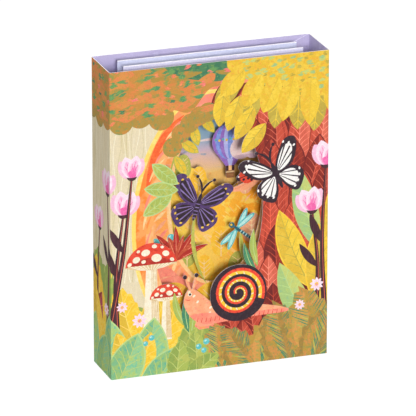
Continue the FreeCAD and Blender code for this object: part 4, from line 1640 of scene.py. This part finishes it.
    def _snail(self) -> None:
        """The snail at the foot of the window: a striped spiral shell on a peach body."""
        self.begin("front_snail")
        middle, radius = self.window.rim(self.shell_angle), self.shell_radius
        sole = middle.y - self.snail_foot_drop
        head = middle - at(radius + self.snail_neck, -1.5)
        for heading in (112.0, 76.0):
            root = head + at(0.4, 1.0)
            tip = polar(root, self.feeler_length, heading)
            stalk = crescent(root, tip, self.feeler_width / 2, self.feeler_width / 2)
            self.lay(Ink.PEACH, grown(stalk, 0.15), "feeler")
            self.lay(Ink.BLACK, disc(tip, self.feeler_width * 0.85), "feeler")
        body = closed_curve([
            head + at(-4.0, -0.5), head + at(0.0, 4.0), head + at(4.5, 1.5), middle - at(radius * 0.8, 5.5),
            middle + at(radius * 0.5, -8.0), at(middle.x + radius * 1.8, sole + 0.6), at(middle.x, sole - 1.0),
            at(head.x + 2.0, sole + 0.8), at(head.x - 3.5, (head.y + sole) / 2 + 1.0),
        ])
        self.lay(Ink.PEACH, grown(body, 0.25), "snail body")
        foot = [at(head.x - 6, sole - 2), at(head.x + 2, sole + 4.4), at(middle.x, sole + 2.6),
                at(middle.x + radius * 1.9, sole + 1.4)]
        foot = open_curve(foot) + [at(middle.x + radius * 1.9, sole - 3), at(head.x - 6, sole - 3)]
        self.lay(Ink.SALMON, foot, "snail foot", on="snail body")
        for spot, chance in scatter(41, 60, head.x - 4, middle.x + radius * 1.6, sole + 1, head.y + 3):
            ink = Ink.IVORY if chance > 0.5 else Ink.SALMON
            self.lay(ink, oval(spot, 0.5 + 0.6 * chance, 0.4 + 0.3 * chance, 50 * chance, 8), on="snail body")
        for k in range(22):
            across = head.x - 2 + k * 2.6
            self.lay(Ink.CAP_RED, stroke([at(across, sole - 1), at(across + 0.7, sole + 1.8)], 0.5, 0.2),
                     on="snail foot")
        eye = head + at(-0.8, 0.8)
        self.lay(Ink.IVORY, disc(eye, 1.15), on="snail body")
        self.lay(Ink.BLACK, disc(eye, 0.7), on="snail body")
        mouth = [head + at(-3.6, -1.8), head + at(-2.2, -2.6), head + at(-0.6, -2.4)]
        self.lay(Ink.CAP_RED, stroke(mouth, 0.2, 0.5), on="snail body")
        self.lay(Ink.BLACK, disc(middle, radius + 0.25), "shell")
        turns, phase = self.shell_turns, self.shell_phase
        whorl = self._spiral(middle, radius * 0.86, radius * 0.1, turns, phase, 0.78)
        self.lay(Ink.SUN_YELLOW, whorl, "whorl", on="shell")
        whorl = self._spiral(middle, radius * 0.93, radius * 0.12, turns, phase, 0.42)
        self.lay(Ink.SCARLET, whorl, "red whorl", on="whorl")
        for k in range(self.shell_marks):
            t = (k + 0.5) / self.shell_marks
            distance = radius * (0.86 + (0.14 - 0.86) * t)
            angle = phase + 360 * turns * t
            reach = radius * 0.11 * (1 - 0.55 * t)
            line = [polar(middle, distance - reach * 1.2, angle - 5), polar(middle, distance - reach * 0.2, angle)]
            self.lay(Ink.IVORY, stroke(line, 0.9 * (1 - 0.5 * t), 0.25), on="whorl")
            line = [polar(middle, distance + reach * 0.4, angle - 2), polar(middle, distance + reach * 1.6, angle + 4)]
            self.lay(Ink.CAP_DEEP, stroke(line, 0.3, 0.8 * (1 - 0.5 * t)), on="red whorl")


@dataclass
class InnerArt(Picture):
    """A print inside the card, which covers a rectangle of its sheet."""

    print_low: float = 8.0
    print_high: float = 161.0
    print_half: float = 50.0

    def _field(self) -> Outline:
        """The whole rectangle."""
        return box(-self.print_half, self.print_half, self.print_low, self.print_high)

    def _slope(self, crest: Outline) -> Outline:
        """The ground below a smooth crest, down to the rectangle's foot."""
        return open_curve(crest) + [at(self.print_half, self.print_low), at(-self.print_half, self.print_low)]


@dataclass
class ArchArt(InnerArt):
    """What is printed on the arch sheet."""

    window: Window = Window(38.5, 35.0, 47.0, 33.0, -2.0)
    vine_angles: tuple[float, ...] = (152.0, 138.0, 124.0, 110.0)
    vine_headings: tuple[float, ...] = (300.0, 322.0, 286.0, 306.0)
    vine_length: float = 14.0
    vine_width: float = 6.0
    tuft_angle: float = 222.0
    tuft_blades: int = 7
    tuft_length: float = 20.0
    tuft_width: float = 3.4
    tuft_spread: float = 104.0
    tuft_heading: float = 74.0
    stalk_angle: float = 262.0
    stalk_width: float = 2.0
    stalk_bow: float = 5.0
    butterfly_place: tuple[float, float] = (-6.0, 44.0)
    reed_angle: float = 309.0
    reed_length: float = 19.0
    reed_heading: float = 98.0
    reed_width: float = 2.2
    dragonfly_length: float = 19.0
    dragonfly_tilt: float = 52.0
    branch_angle: float = 14.0
    branch_length: float = 27.0
    branch_heading: float = 199.0
    branch_thickness: float = 4.4
    branch_bow: float = 2.5
    ladybird_radius: float = 4.6

    def drawn(self) -> Picture:
        """Draws the whole print.

        Returns:
            The picture, which is the print itself.
        """
        self.begin("arch_field")
        self.lay(Ink.ARCH, self._field(), "field")
        for k, angle in enumerate(range(0, 360, 6)):
            line = [self.window.rim(angle + 3 * t, 3.0 + 4.5 * t) for t in (0.0, 0.5, 1.0, 1.6)]
            self.lay((Ink.SALMON, Ink.ARCH_RIM, Ink.PEACH)[k % 3], stroke(open_curve(line, 3), 0.4, 0.3, 1.8),
                     on="field")
        self.lay(Ink.ARCH_RIM, self.window.ring(2.0, at(-0.4, 0.3)), "rim")
        for draw in (self._mounds, self._berries, self._vines, self._tuft, self._branch, self._dragonfly):
            draw()
        self.begin("arch_butterfly")
        foot = self.window.rim(self.stalk_angle, self.stalk_width)
        perch = self.window.rim(self.stalk_angle) + at(*self.butterfly_place)
        bulges = self.stalk_bow + self.stalk_width / 2, self.stalk_width / 2 - self.stalk_bow
        self.lay(Ink.MOSS, grown(crescent(foot, perch, *bulges), 0.15), "stalk")
        look = ButterflyLook(17.0, -18.0, Ink.VIOLET_DARK, Ink.BLACK, Ink.VIOLET_LINE, Ink.SUN_YELLOW, Ink.BLACK)
        look.paint(self, perch)
        return self

    def _mounds(self) -> None:
        """The salmon ground and round yellow bushes at the foot of the arch."""
        self.begin("arch_mounds")
        crest = [at(-self.print_half, 66), at(-38, 68), at(-26, 58), at(-14, 48), at(6, 44), at(24, 50),
                 at(self.print_half, 56)]
        self.lay(Ink.SALMON, self._slope(crest), "mound")
        for spot, chance in scatter(51, 90, -44, 44, 14, 70):
            line = [spot, spot + at(2.0, 0.8), spot + at(4.0 + 3 * chance, 1.0)]
            self.lay(Ink.PEACH if chance > 0.4 else Ink.RUST_LIGHT, stroke(line, 0.3, 0.2, 0.8), on="mound")
        for middle, half, tall in ((at(24, 34), 13, 18), (at(-24, 34), 12, 15), (at(0, 30), 15, 17)):
            name = f"bush {len(self.layers)}"
            self.lay(Ink.BUSH, oval(middle, half, tall), name)
            self.lay(Ink.AMBER, crescent(middle - at(0, tall), middle + at(0, tall), -half * 0.55, half), on=name)
            foot = middle - at(0, tall)
            self.lay(Ink.VEIN, stroke([foot, middle, middle + at(0, tall * 0.7)], 1.1, 0.4), on=name)
            for k in range(5):
                start = foot + at(0, tall * (0.4 + 0.25 * k))
                for turn in (1, -1):
                    end = start + at(turn * half * (0.62 - 0.05 * k), tall * 0.36)
                    self.lay(Ink.VEIN, stroke([start, start.lerp(end, 0.5) + at(0, -0.5), end], 0.8, 0.3), on=name)

    def _berries(self) -> None:
        """A cluster of turquoise berries at the left of the arch."""
        self.begin("arch_berries")
        for across, up, size in ((-27.5, 70.5, 3.0), (-32.5, 68.5, 2.8), (-29.5, 65.0, 3.0), (-34.0, 73.5, 2.5),
                                 (-25.0, 75.5, 2.2)):
            middle = at(across, up)
            name = f"berry {across}"
            self.lay(Ink.TURQUOISE, disc(middle, size), name)
            left, right = middle - at(size * 0.9, size * 0.3), middle + at(size * 0.9, -size * 0.3)
            self.lay(Ink.TEAL_DARK, crescent(left, right, -size * 0.45, size), on=name)
            gleam = oval(middle + at(-size * 0.3, size * 0.35), size * 0.34, size * 0.22, 35)
            self.lay(Ink.TURQUOISE_PALE, gleam, on=name)

    def _vines(self) -> None:
        """The vine leaves at the upper left of the arch."""
        self.begin("arch_vines")
        line = [self.window.rim(angle, 2.4) for angle in range(88, 176, 8)]
        self.lay(Ink.MOSS, stroke(line, 0.9, 0.9), "vine")
        look = LeafLook(Ink.YELLOW_LEAF, Ink.MOSS, Ink.MOSS, ribs=3, vein_width=0.35, outline_width=0.4)
        for angle, heading in zip(self.vine_angles, self.vine_headings):
            root = polar(self.window.rim(angle), -self.vine_length * 0.25, heading)
            look.paint(self, root, self.vine_length, self.vine_width, heading)

    def _tuft(self) -> None:
        """The rust-red tuft of grass at the lower left."""
        self.begin("arch_tuft")
        root = self.window.rim(self.tuft_angle, self.tuft_width)
        for blade in range(self.tuft_blades):
            share = blade / (self.tuft_blades - 1) - 0.5
            length = self.tuft_length * (1.0 - 0.25 * (blade % 2))
            heading = self.tuft_heading - self.tuft_spread * share
            name = f"tuft {len(self.layers)}"
            shape = grown(leaf(root, length, self.tuft_width, heading, 0.5 * share), BLEED)
            self.lay(Ink.RUST if blade % 2 else Ink.CAP_DEEP, shape, name)
            line = [polar(root, length * 0.2, heading), polar(root, length * 0.85, heading)]
            self.lay(Ink.RUST_LIGHT, stroke(line, 0.5, 0.2), on=name)

    def _branch(self) -> None:
        """The branch at the right, with a ladybird on it."""
        self.begin("arch_branch")
        knot = self.window.rim(self.branch_angle, self.branch_thickness)
        end = polar(knot, self.branch_length, self.branch_heading)
        bulges = self.branch_thickness / 2 + self.branch_bow, self.branch_thickness / 2 - self.branch_bow
        self.lay(Ink.PEACH, grown(crescent(knot, end, *bulges), BLEED), "branch")
        for k in range(7):
            start = knot.lerp(end, 0.1 + 0.11 * k) + at(0, -1.2)
            self.lay(Ink.RUST_LIGHT, stroke([start, start + at(-1.8, -1.2), start + at(-4.0, -1.6)], 0.5, 0.25),
                     on="branch")
        self.begin("arch_ladybird")
        radius = self.ladybird_radius
        middle = (knot + end) / 2 + at(0, radius * 0.7)
        self.lay(Ink.BLACK, disc(middle - at(radius * 0.95, radius * 0.25), radius * 0.44), "beetle head")
        self.lay(Ink.SCARLET, disc(middle, radius + 0.15), "beetle")
        self.lay(Ink.BLACK, stroke([middle - at(radius, radius * 0.3), middle + at(radius, radius * 0.3)], 0.5, 0.3),
                 on="beetle")
        for across, up in ((-0.35, 0.45), (0.3, 0.62), (0.12, -0.4), (-0.45, -0.5), (0.66, -0.1), (0.55, -0.62)):
            self.lay(Ink.BLACK, disc(middle + at(across, up) * radius, radius * 0.17), on="beetle")
        self.lay(Ink.WHITE, disc(middle - at(radius * 1.1, radius * 0.1), radius * 0.12), on="beetle head")

    def _dragonfly(self) -> None:
        """The turquoise dragonfly on its reed."""
        self.begin("arch_dragonfly")
        reed = self.window.rim(self.reed_angle, self.reed_width)
        middle = polar(reed, self.reed_length, self.reed_heading)
        self.lay(Ink.MOSS, grown(crescent(reed, middle, self.reed_width, self.reed_width / 4), 0.15), "reed")
        length = self.dragonfly_length
        for side in Side:
            for rise, lean in ((0.2, 14.0), (0.08, -16.0)):
                centre = at(side.value * length * 0.33, length * rise)
                tilt = side.value * lean
                name = f"wing {len(self.layers)}"
                outer = oval(centre, length * 0.35, length * 0.095, tilt)
                inner = oval(centre, length * 0.27, length * 0.05, tilt)
                self.lay(Ink.TURQUOISE, turned(outer, middle, self.dragonfly_tilt), name)
                self.lay(Ink.TURQUOISE_PALE, turned(inner, middle, self.dragonfly_tilt), on=name)
        body = oval(at(0, -length * 0.12), length * 0.05, length * 0.51)
        self.lay(Ink.TEAL_DARK, turned(body, middle, self.dragonfly_tilt), "dragonfly body")
        for k in range(6):
            band = oval(at(0, -length * (0.5 - 0.1 * k)), length * 0.05, length * 0.016)
            self.lay(Ink.TURQUOISE_PALE, turned(band, middle, self.dragonfly_tilt), on="dragonfly body")
        for ink, along, radius in ((Ink.TEAL_DARK, 0.36, 0.095), (Ink.SUN_YELLOW, 0.38, 0.035)):
            eye = turned(disc(at(0, length * along), length * radius), middle, self.dragonfly_tilt)
            self.lay(ink, eye, "dragonfly head")


@dataclass
class HillArt(InnerArt):
    """What is printed on the hill sheet."""

    window: Window = Window(38.5, 31.5, 78.0, 31.0)
    near_rise: float = 36.0
    near_crest: tuple[float, ...] = (0.96, 1.0, 0.88, 0.62, 0.36, 0.24, 0.2)
    far_rise: float = 25.0
    far_crest: tuple[float, ...] = (0.2, 0.24, 0.34, 0.5, 0.76, 0.98, 1.0)
    tree_width: float = 9.0
    tree_height: float = 15.0
    trees: tuple[tuple[float, float], ...] = ((-0.62, 0.94), (-0.3, 0.72), (0.66, 0.61))
    balloon_angle: float = 20.0
    balloon_inward: float = 17.0
    balloon_radius: float = 10.5
    basket_width: float = 5.4
    basket_height: float = 4.2
    cloud_radius: float = 6.2
    cloud_lobes: int = 4
    print_high: float = 160.0
    margin: float = 2.0

    def drawn(self) -> Picture:
        """Draws the whole print.

        Returns:
            The picture, which is the print itself.
        """
        self.begin("hill_field")
        self.lay(Ink.HAZE, self._field(), "haze")
        self.lay(Ink.ARCH_RIM, self.window.ring(2.4), "rim")
        self._hills()
        self._trees()
        self._balloon()
        return self

    def _ridge(self, rise: float, crest: tuple[float, ...]) -> Outline:
        """A rolling ridge right across the print.

        Args:
            rise: its height over the window's foot.
            crest: shares of that height, from left to right.

        Returns:
            The ridge's outline.
        """
        low = self.window.low()
        half = self.window.half_width + self.margin
        left = self.window.middle.x - half
        tops = [at(left + 2 * half * i / (len(crest) - 1), low + rise * share + 0.25) for i, share in enumerate(crest)]
        tops = [at(-self.print_half, tops[0].y)] + tops + [at(self.print_half, tops[-1].y)]
        return self._slope(tops)

    def _hills(self) -> None:
        """The far hill and the near hill, brushed with short strokes."""
        self.begin("hill_slopes")
        # Both hill inks carry painted shade, deepening to orange toward the right under the cover's right rim.
        self.lay(Ink.FAR_HILL, self._ridge(self.far_rise, self.far_crest), "far")
        for spot, chance in scatter(62, 40, -4, 40, 76, 106):
            line = [spot, spot + at(-1.8, -1.4 - chance), spot + at(-3.6, -3.6 - 2 * chance)]
            self.lay(Ink.HAZE if chance > 0.2 else Ink.HAZE_PINK, stroke(line, 0.2, 0.2, 0.8), on="far")
        self.lay(Ink.NEAR_HILL, self._ridge(self.near_rise, self.near_crest), "near")
        for spot, chance in scatter(61, 130, -34, 40, 48, 116):
            line = [spot, spot + at(1.6, -1.0 - chance), spot + at(3.4, -2.6 - 2 * chance)]
            self.lay(Ink.HAZE if chance > 0.8 else Ink.GOLD_LINE, stroke(line, 0.2, 0.2, 0.5), on="near")
        fold = [at(-30, 96), at(-12, 90), at(4, 74), at(16, 60), at(34, 52)]
        self.lay(Ink.FAR_HILL, open_curve(fold) + [at(34, 48), at(0, 48), at(-14, 78), at(-30, 88)], "dale", on="near")
        for k in range(5):
            line = [at(-20 + 9 * k, 84 - 6 * k), at(-12 + 9 * k, 78 - 6 * k), at(-4 + 9 * k, 66 - 5 * k)]
            self.lay(Ink.HAZE, stroke(open_curve(line, 4), 0.2, 0.2, 1.6), on="dale")

    def _trees(self) -> None:
        """Round trees with branching pale veins, the three cut ones and more printed ones."""
        self.begin("hill_trees")
        low = self.window.low()
        cut = [at(self.window.middle.x + place * self.window.half_width, low + rise * self.near_rise)
               for place, rise in self.trees]
        drawn = [at(-26, 70), at(-12, 62), at(8, 66), at(26, 72), at(-2, 50), at(18, 50), at(32, 56), at(-24, 48)]
        inks = (Ink.MOSS, Ink.BUSH, Ink.HAZE_PINK, Ink.BUSH)
        for k, middle in enumerate(cut + drawn):
            growth = 0.2 if k < len(cut) else 1.5
            half, tall = self.tree_width / 2 + growth, self.tree_height / 2 + growth
            name = f"tree {len(self.layers)}"
            self.lay(inks[k % 4], oval(middle, half, tall), name)
            foot = middle - at(0, tall)
            self.lay(Ink.VEIN, stroke([foot, middle, middle + at(0, tall * 0.7)], 0.7, 0.25), on=name)
            for rib in range(4):
                start = foot + at(0, tall * (0.5 + 0.3 * rib))
                for turn in (1, -1):
                    self.lay(Ink.VEIN, stroke([start, start + at(turn * half * 0.6, tall * 0.32)], 0.5, 0.2), on=name)

    def _balloon(self) -> None:
        """The striped balloon and the cloud that it drifts by."""
        self.begin("hill_balloon")
        anchor = self.window.rim(self.balloon_angle)
        radius = self.balloon_radius
        middle = anchor - at(self.balloon_inward, 0)
        throat = middle - at(0, radius * 1.36)
        rim = throat - at(0, radius * 0.3)
        for side in Side:
            outer, inner = side.value * radius * 0.25, side.value * radius * 0.09
            rope = [throat + at(outer, 0.4), rim + at(outer, -0.4), rim + at(inner, -0.4), throat + at(inner, 0.4)]
            self.lay(Ink.STEM, rope, "rope")
        for ink, top, foot in ((Ink.VIOLET, 0.75, 0.27), (Ink.PERIWINKLE, 0.25, 0.08)):
            skirt = [middle + at(-radius * top, -radius * 0.66), middle + at(radius * top, -radius * 0.66),
                     throat + at(radius * foot, -0.1), throat - at(radius * foot, 0.1)]
            self.lay(ink, skirt, "skirt", on="" if ink is Ink.VIOLET else "skirt")
        self.lay(Ink.VIOLET, disc(middle, radius + 0.2), "envelope")
        for share, ink in ((0.82, Ink.BLUE), (0.58, Ink.VIOLET), (0.36, Ink.PERIWINKLE), (0.14, Ink.BLUE)):
            self.lay(ink, oval(middle, radius * share, radius + 0.3), on="envelope")
        for k in range(9):
            spot = middle + at(radius * (-0.8 + 0.2 * k), radius * (0.12 - 0.05 * (k % 2)))
            self.lay(Ink.SUN_YELLOW if k % 2 else Ink.TURQUOISE, disc(spot, radius * 0.07), on="envelope")
        top, foot, deep = self.basket_width / 2 + BLEED, self.basket_width * 0.4 + BLEED, self.basket_height + BLEED
        basket = [rim + at(-top, BLEED), rim + at(top, BLEED), rim + at(foot, -deep), rim - at(foot, deep)]
        self.lay(Ink.WICKER, basket, "basket")
        self.lay(Ink.SAND, box(rim.x - 4, rim.x + 4, rim.y - 1.0, rim.y - 0.3), on="basket")
        self.begin("hill_cloud")
        near = middle.x + radius * 0.6
        for lobe in range(self.cloud_lobes):
            across = near + (anchor.x - near) * lobe / (self.cloud_lobes - 1)
            up = anchor.y - radius * 0.5 + self.cloud_radius * 0.35 * (lobe % 2)
            self.lay(Ink.CLOUD, disc(at(across, up), self.cloud_radius + BLEED), "cloud")
        for lobe in range(3):
            middle = at(near + 5.5 * lobe, anchor.y - radius * 0.5 - self.cloud_radius * 0.8)
            self.lay(Ink.CLOUD_SHADE, oval(middle, 4.6, 1.5), on="cloud")


@dataclass
class SkyArt(InnerArt):
    """What is printed inside the back panel."""

    print_low: float = 12.0
    print_high: float = 158.0
    print_half: float = 46.0

    def drawn(self) -> Picture:
        """Draws the sky and its long clouds.

        Returns:
            The picture, which is the print itself.
        """
        self.begin("back_sky")
        self.lay(Ink.SKY, self._field(), "sky")
        bands = ((-14, 128, 9, 0.9), (8, 123, 11, 0.8), (28, 131, 8, 0.8), (-24, 121, 9, 0.7), (30, 120, 8, 0.7))
        for k, (across, up, half, tall) in enumerate(bands):
            self.lay(Ink.CLOUD if k % 2 else Ink.CLOUD_SHADE, oval(at(across, up), half, tall, 3), on="sky")
        far = [at(-self.print_half, 108), at(-26, 113), at(-8, 106), at(10, 104), at(26, 116), at(38, 122),
               at(self.print_half, 118)]
        self.lay(Ink.HAZE, self._slope(far), "far")
        near = [at(-self.print_half, 98), at(-20, 104), at(0, 98), at(16, 95), at(30, 103), at(self.print_half, 110)]
        self.lay(Ink.FAR_HILL, self._slope(near), "near")
        for spot, chance in scatter(71, 60, -30, 44, 84, 112):
            line = [spot, spot + at(2.2, -0.6), spot + at(4.6, -2.0)]
            self.lay(Ink.SUN_YELLOW if chance > 0.5 else Ink.HAZE_PINK, stroke(line, 0.2, 0.2, 0.7), on="near")
        return self


class Board:
    """The bare board of the sheets: what is seen beside, behind and between the print."""

    SLACK = 0.08
    FRONT_SLACK = 0.2
    COVER_RIM = 2.0
    SHEET_RIM = 1.2
    UPWARD = 0.9
    EDGE_TILT = 0.5
    FACING = 0.3
    WALL_TILT = 0.2

    def __init__(self, palette: Palette) -> None:
        """Keeps the palette."""
        self.palette = palette

    def dress(self, node: str, inks: list[Ink], choose: Callable[[Vector, Vector], int]) -> None:
        """Gives each face of a sheet the ink that a rule picks.

        Args:
            node: the sheet.
            inks: the inks, in slot order.
            choose: picks a slot from a face's middle, in millimetres, and its normal.
        """
        mesh = frame["nodes"][node].data
        mesh.materials.clear()
        for ink in inks:
            mesh.materials.append(self.palette.material(ink))
        for face in mesh.polygons:
            face.material_index = choose(face.center / MM, face.normal)
        log.info("%s: %d faces of bare board", node, len(mesh.polygons))

    def _cover_slot(self, middle: Vector, normal: Vector) -> int:
        """The slot of a face: nought for a cut edge, then the outer back, the printed outside and the inside.

        Args:
            middle: the face's middle, in millimetres.
            normal: where it faces.

        Returns:
            The slot's number.
        """
        front_edge = (middle.y < LOW.y + COVER_BOARD - self.SLACK and abs(normal.y) < self.EDGE_TILT
                      and abs(middle.x) < WIDTH / 2 - self.COVER_RIM)
        if abs(normal.z) > self.UPWARD or front_edge:
            return 0
        if normal.y > self.FACING and middle.y > HIGH.y - self.SLACK:
            return 1
        outer_wall = (abs(middle.x) > WIDTH / 2 - COVER_BOARD / 2 and abs(normal.x) > self.WALL_TILT
                      and middle.x * normal.x > 0)
        if outer_wall or (normal.y < -self.FACING and middle.y < LOW.y + self.FRONT_SLACK):
            return 2
        return 3

    def dress_cover(self) -> None:
        """Dresses the cover's board."""
        inks = [Ink.CUT_EDGE, Ink.BACK_BOARD, Ink.CREAM, Ink.LAVENDER]
        self.dress("folded_cover", inks, self._cover_slot)

    def dress_sheet(self, node: str, plain: Ink) -> None:
        """Dresses an inner sheet: pale cut edges, and plain board in front and behind.

        Args:
            node: the sheet.
            plain: the ink of its plain board.
        """
        def choose(middle: Vector, normal: Vector) -> int:
            """Nought for a cut edge, one for the plain board."""
            return 0 if abs(normal.y) < self.EDGE_TILT and abs(middle.x) < WIDTH / 2 - self.SHEET_RIM else 1

        self.dress(node, [Ink.CUT_EDGE, plain], choose)


@dataclass(frozen=True)
class Lamp:
    """A soft distant lamp, placed by its angles from the front, in degrees."""

    name: str
    azimuth: float
    elevation: float
    strength: float
    softness: float


@dataclass(frozen=True)
class Studio:
    """The floor, the lamps, the pale surroundings and the camera."""

    yaw: float = -19.26
    elevation: float = 19.35
    distance: float = 2.868
    lens: float = 449.0
    shift: tuple[float, float] = (-0.00625, -0.0034)
    lamps: tuple[Lamp, ...] = (
        Lamp("front", -11.0, 14.0, 2.3, 12.0),
        Lamp("fill", 20.0, 20.0, 0.45, 45.0),
        Lamp("left", -78.0, 12.0, 1.08, 40.0),
        Lamp("right", 78.0, 12.0, 0.48, 40.0),
        Lamp("back", 165.0, 30.0, 1.9, 40.0),
        Lamp("top", -10.0, 68.0, 0.36, 30.0),
    )
    sensor: float = 36.0
    sight: float = 20.0
    world_tone: tuple[float, float, float, float] = (1.0, 0.99, 0.98, 1.0)
    world_strength: float = 0.1
    floor_radius: float = 3.0
    floor_tone: float = 0.3
    floor_roughness: float = 0.9
    floor_glow: float = 0.7
    glow_strength: float = 1.38

    def _direction(self, azimuth: float, elevation: float) -> Vector:
        """The way toward a lamp or camera, where azimuth nought is straight in front."""
        a, e = math.radians(azimuth), math.radians(elevation)
        return Vector((math.sin(a) * math.cos(e), -math.cos(a) * math.cos(e), math.sin(e)))

    def camera(self) -> None:
        """Sets the camera at the photograph's viewing angle."""
        data = bpy.data.cameras.new("camera")
        data.lens = self.lens
        data.sensor_width = self.sensor
        data.shift_x, data.shift_y = self.shift
        data.clip_end = self.sight
        camera = new_object("camera", data)
        aim = Vector((0, 0, HEIGHT / 2 * MM))
        back = self._direction(self.yaw, self.elevation)
        camera.location = aim + back * self.distance
        camera.rotation_euler = back.to_track_quat("Z", "Y").to_euler()
        bpy.context.scene.camera = camera

    def light(self) -> None:
        """Adds the soft lamps in front, at the sides and behind."""
        for lamp in self.lamps:
            data = bpy.data.lights.new(lamp.name, "SUN")
            data.energy = lamp.strength
            data.angle = math.radians(lamp.softness)
            way = self._direction(lamp.azimuth, lamp.elevation)
            new_object(lamp.name, data).rotation_euler = way.to_track_quat("Z", "Y").to_euler()

    def surroundings(self) -> None:
        """Makes the world pale, and white where it is seen directly or in a reflection."""
        world = bpy.data.worlds.new("studio")
        bpy.context.scene.world = world
        world.use_nodes = True
        tree = world.node_tree
        tree.nodes.clear()
        path = new_node(tree, "ShaderNodeLightPath").outputs
        bounced = math_node(tree, "MAXIMUM", path["Is Glossy Ray"], path["Is Transmission Ray"])
        seen = math_node(tree, "MAXIMUM", path["Is Camera Ray"], bounced)
        glow = {"Color": self.world_tone, "Strength": self.world_strength}
        lamp = new_node(tree, "ShaderNodeBackground", glow).outputs[0]
        wall = new_node(tree, "ShaderNodeBackground", {"Color": PAPER_WHITE}).outputs[0]
        mix = new_node(tree, "ShaderNodeMixShader", {0: seen, 1: lamp, 2: wall}).outputs[0]
        new_node(tree, "ShaderNodeOutputWorld", {0: mix})

    def floor(self) -> None:
        """Adds the plain white floor, which keeps a faint shadow."""
        plate = bmesh.new()
        bmesh.ops.create_circle(plate, cap_ends=True, segments=64, radius=self.floor_radius)
        mesh = bpy.data.meshes.new("floor")
        plate.to_mesh(mesh)
        plate.free()
        floor = new_object("floor", mesh)
        paint = bpy.data.materials.new("floor_white")
        paint.use_nodes = True
        tree = paint.node_tree
        surface = tree.nodes["Principled BSDF"]
        tone = (self.floor_tone,) * 3 + (1.0,)
        feed(tree, surface, {"Base Color": tone, "Roughness": self.floor_roughness})
        glow = new_node(tree, "ShaderNodeEmission", {"Strength": self.glow_strength}).outputs[0]
        seen = new_node(tree, "ShaderNodeLightPath").outputs["Is Camera Ray"]
        share = math_node(tree, "MULTIPLY", seen, self.floor_glow)
        mix = new_node(tree, "ShaderNodeMixShader", {0: share, 1: surface.outputs[0], 2: glow})
        feed(tree, tree.nodes["Material Output"], {0: mix.outputs[0]})
        mesh.materials.append(paint)

    def build(self) -> None:
        """Builds the studio."""
        self.camera()
        self.light()
        self.surroundings()
        self.floor()
        bpy.context.scene.view_settings.view_transform = "Standard"


def face_of(node: str) -> float:
    """Where the front face of an inner sheet lies, in millimetres."""
    low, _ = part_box(node)
    return low[1] / MM


def main() -> None:
    """Builds the card's print, its bare board and the studio."""
    logging.basicConfig(level=logging.INFO, format="%(name)s %(message)s")
    palette = Palette()
    printer = Printer(palette)
    board = Board(palette)
    board.dress_cover()
    board.dress_sheet("arch_sheet", Ink.LILAC)
    board.dress_sheet("hill_sheet", Ink.PALE_LILAC)
    printer.print(CoverGround("folded_cover", LOW.y), FrontArt().drawn())
    for node, art in (("arch_sheet", ArchArt()), ("hill_sheet", HillArt())):
        ground, picture = FlatGround(node, face_of(node)), art.drawn()
        picture.begin(f"{node}_edges")
        for line in ground.edges(PALE_EDGE):
            picture.lay(Ink.CUT_EDGE, line)
        printer.print(ground, picture)
    printer.print(FlatGround("folded_cover", HIGH.y - COVER_BOARD), SkyArt().drawn())
    Studio().build()


if __name__ == "__main__":
    main()
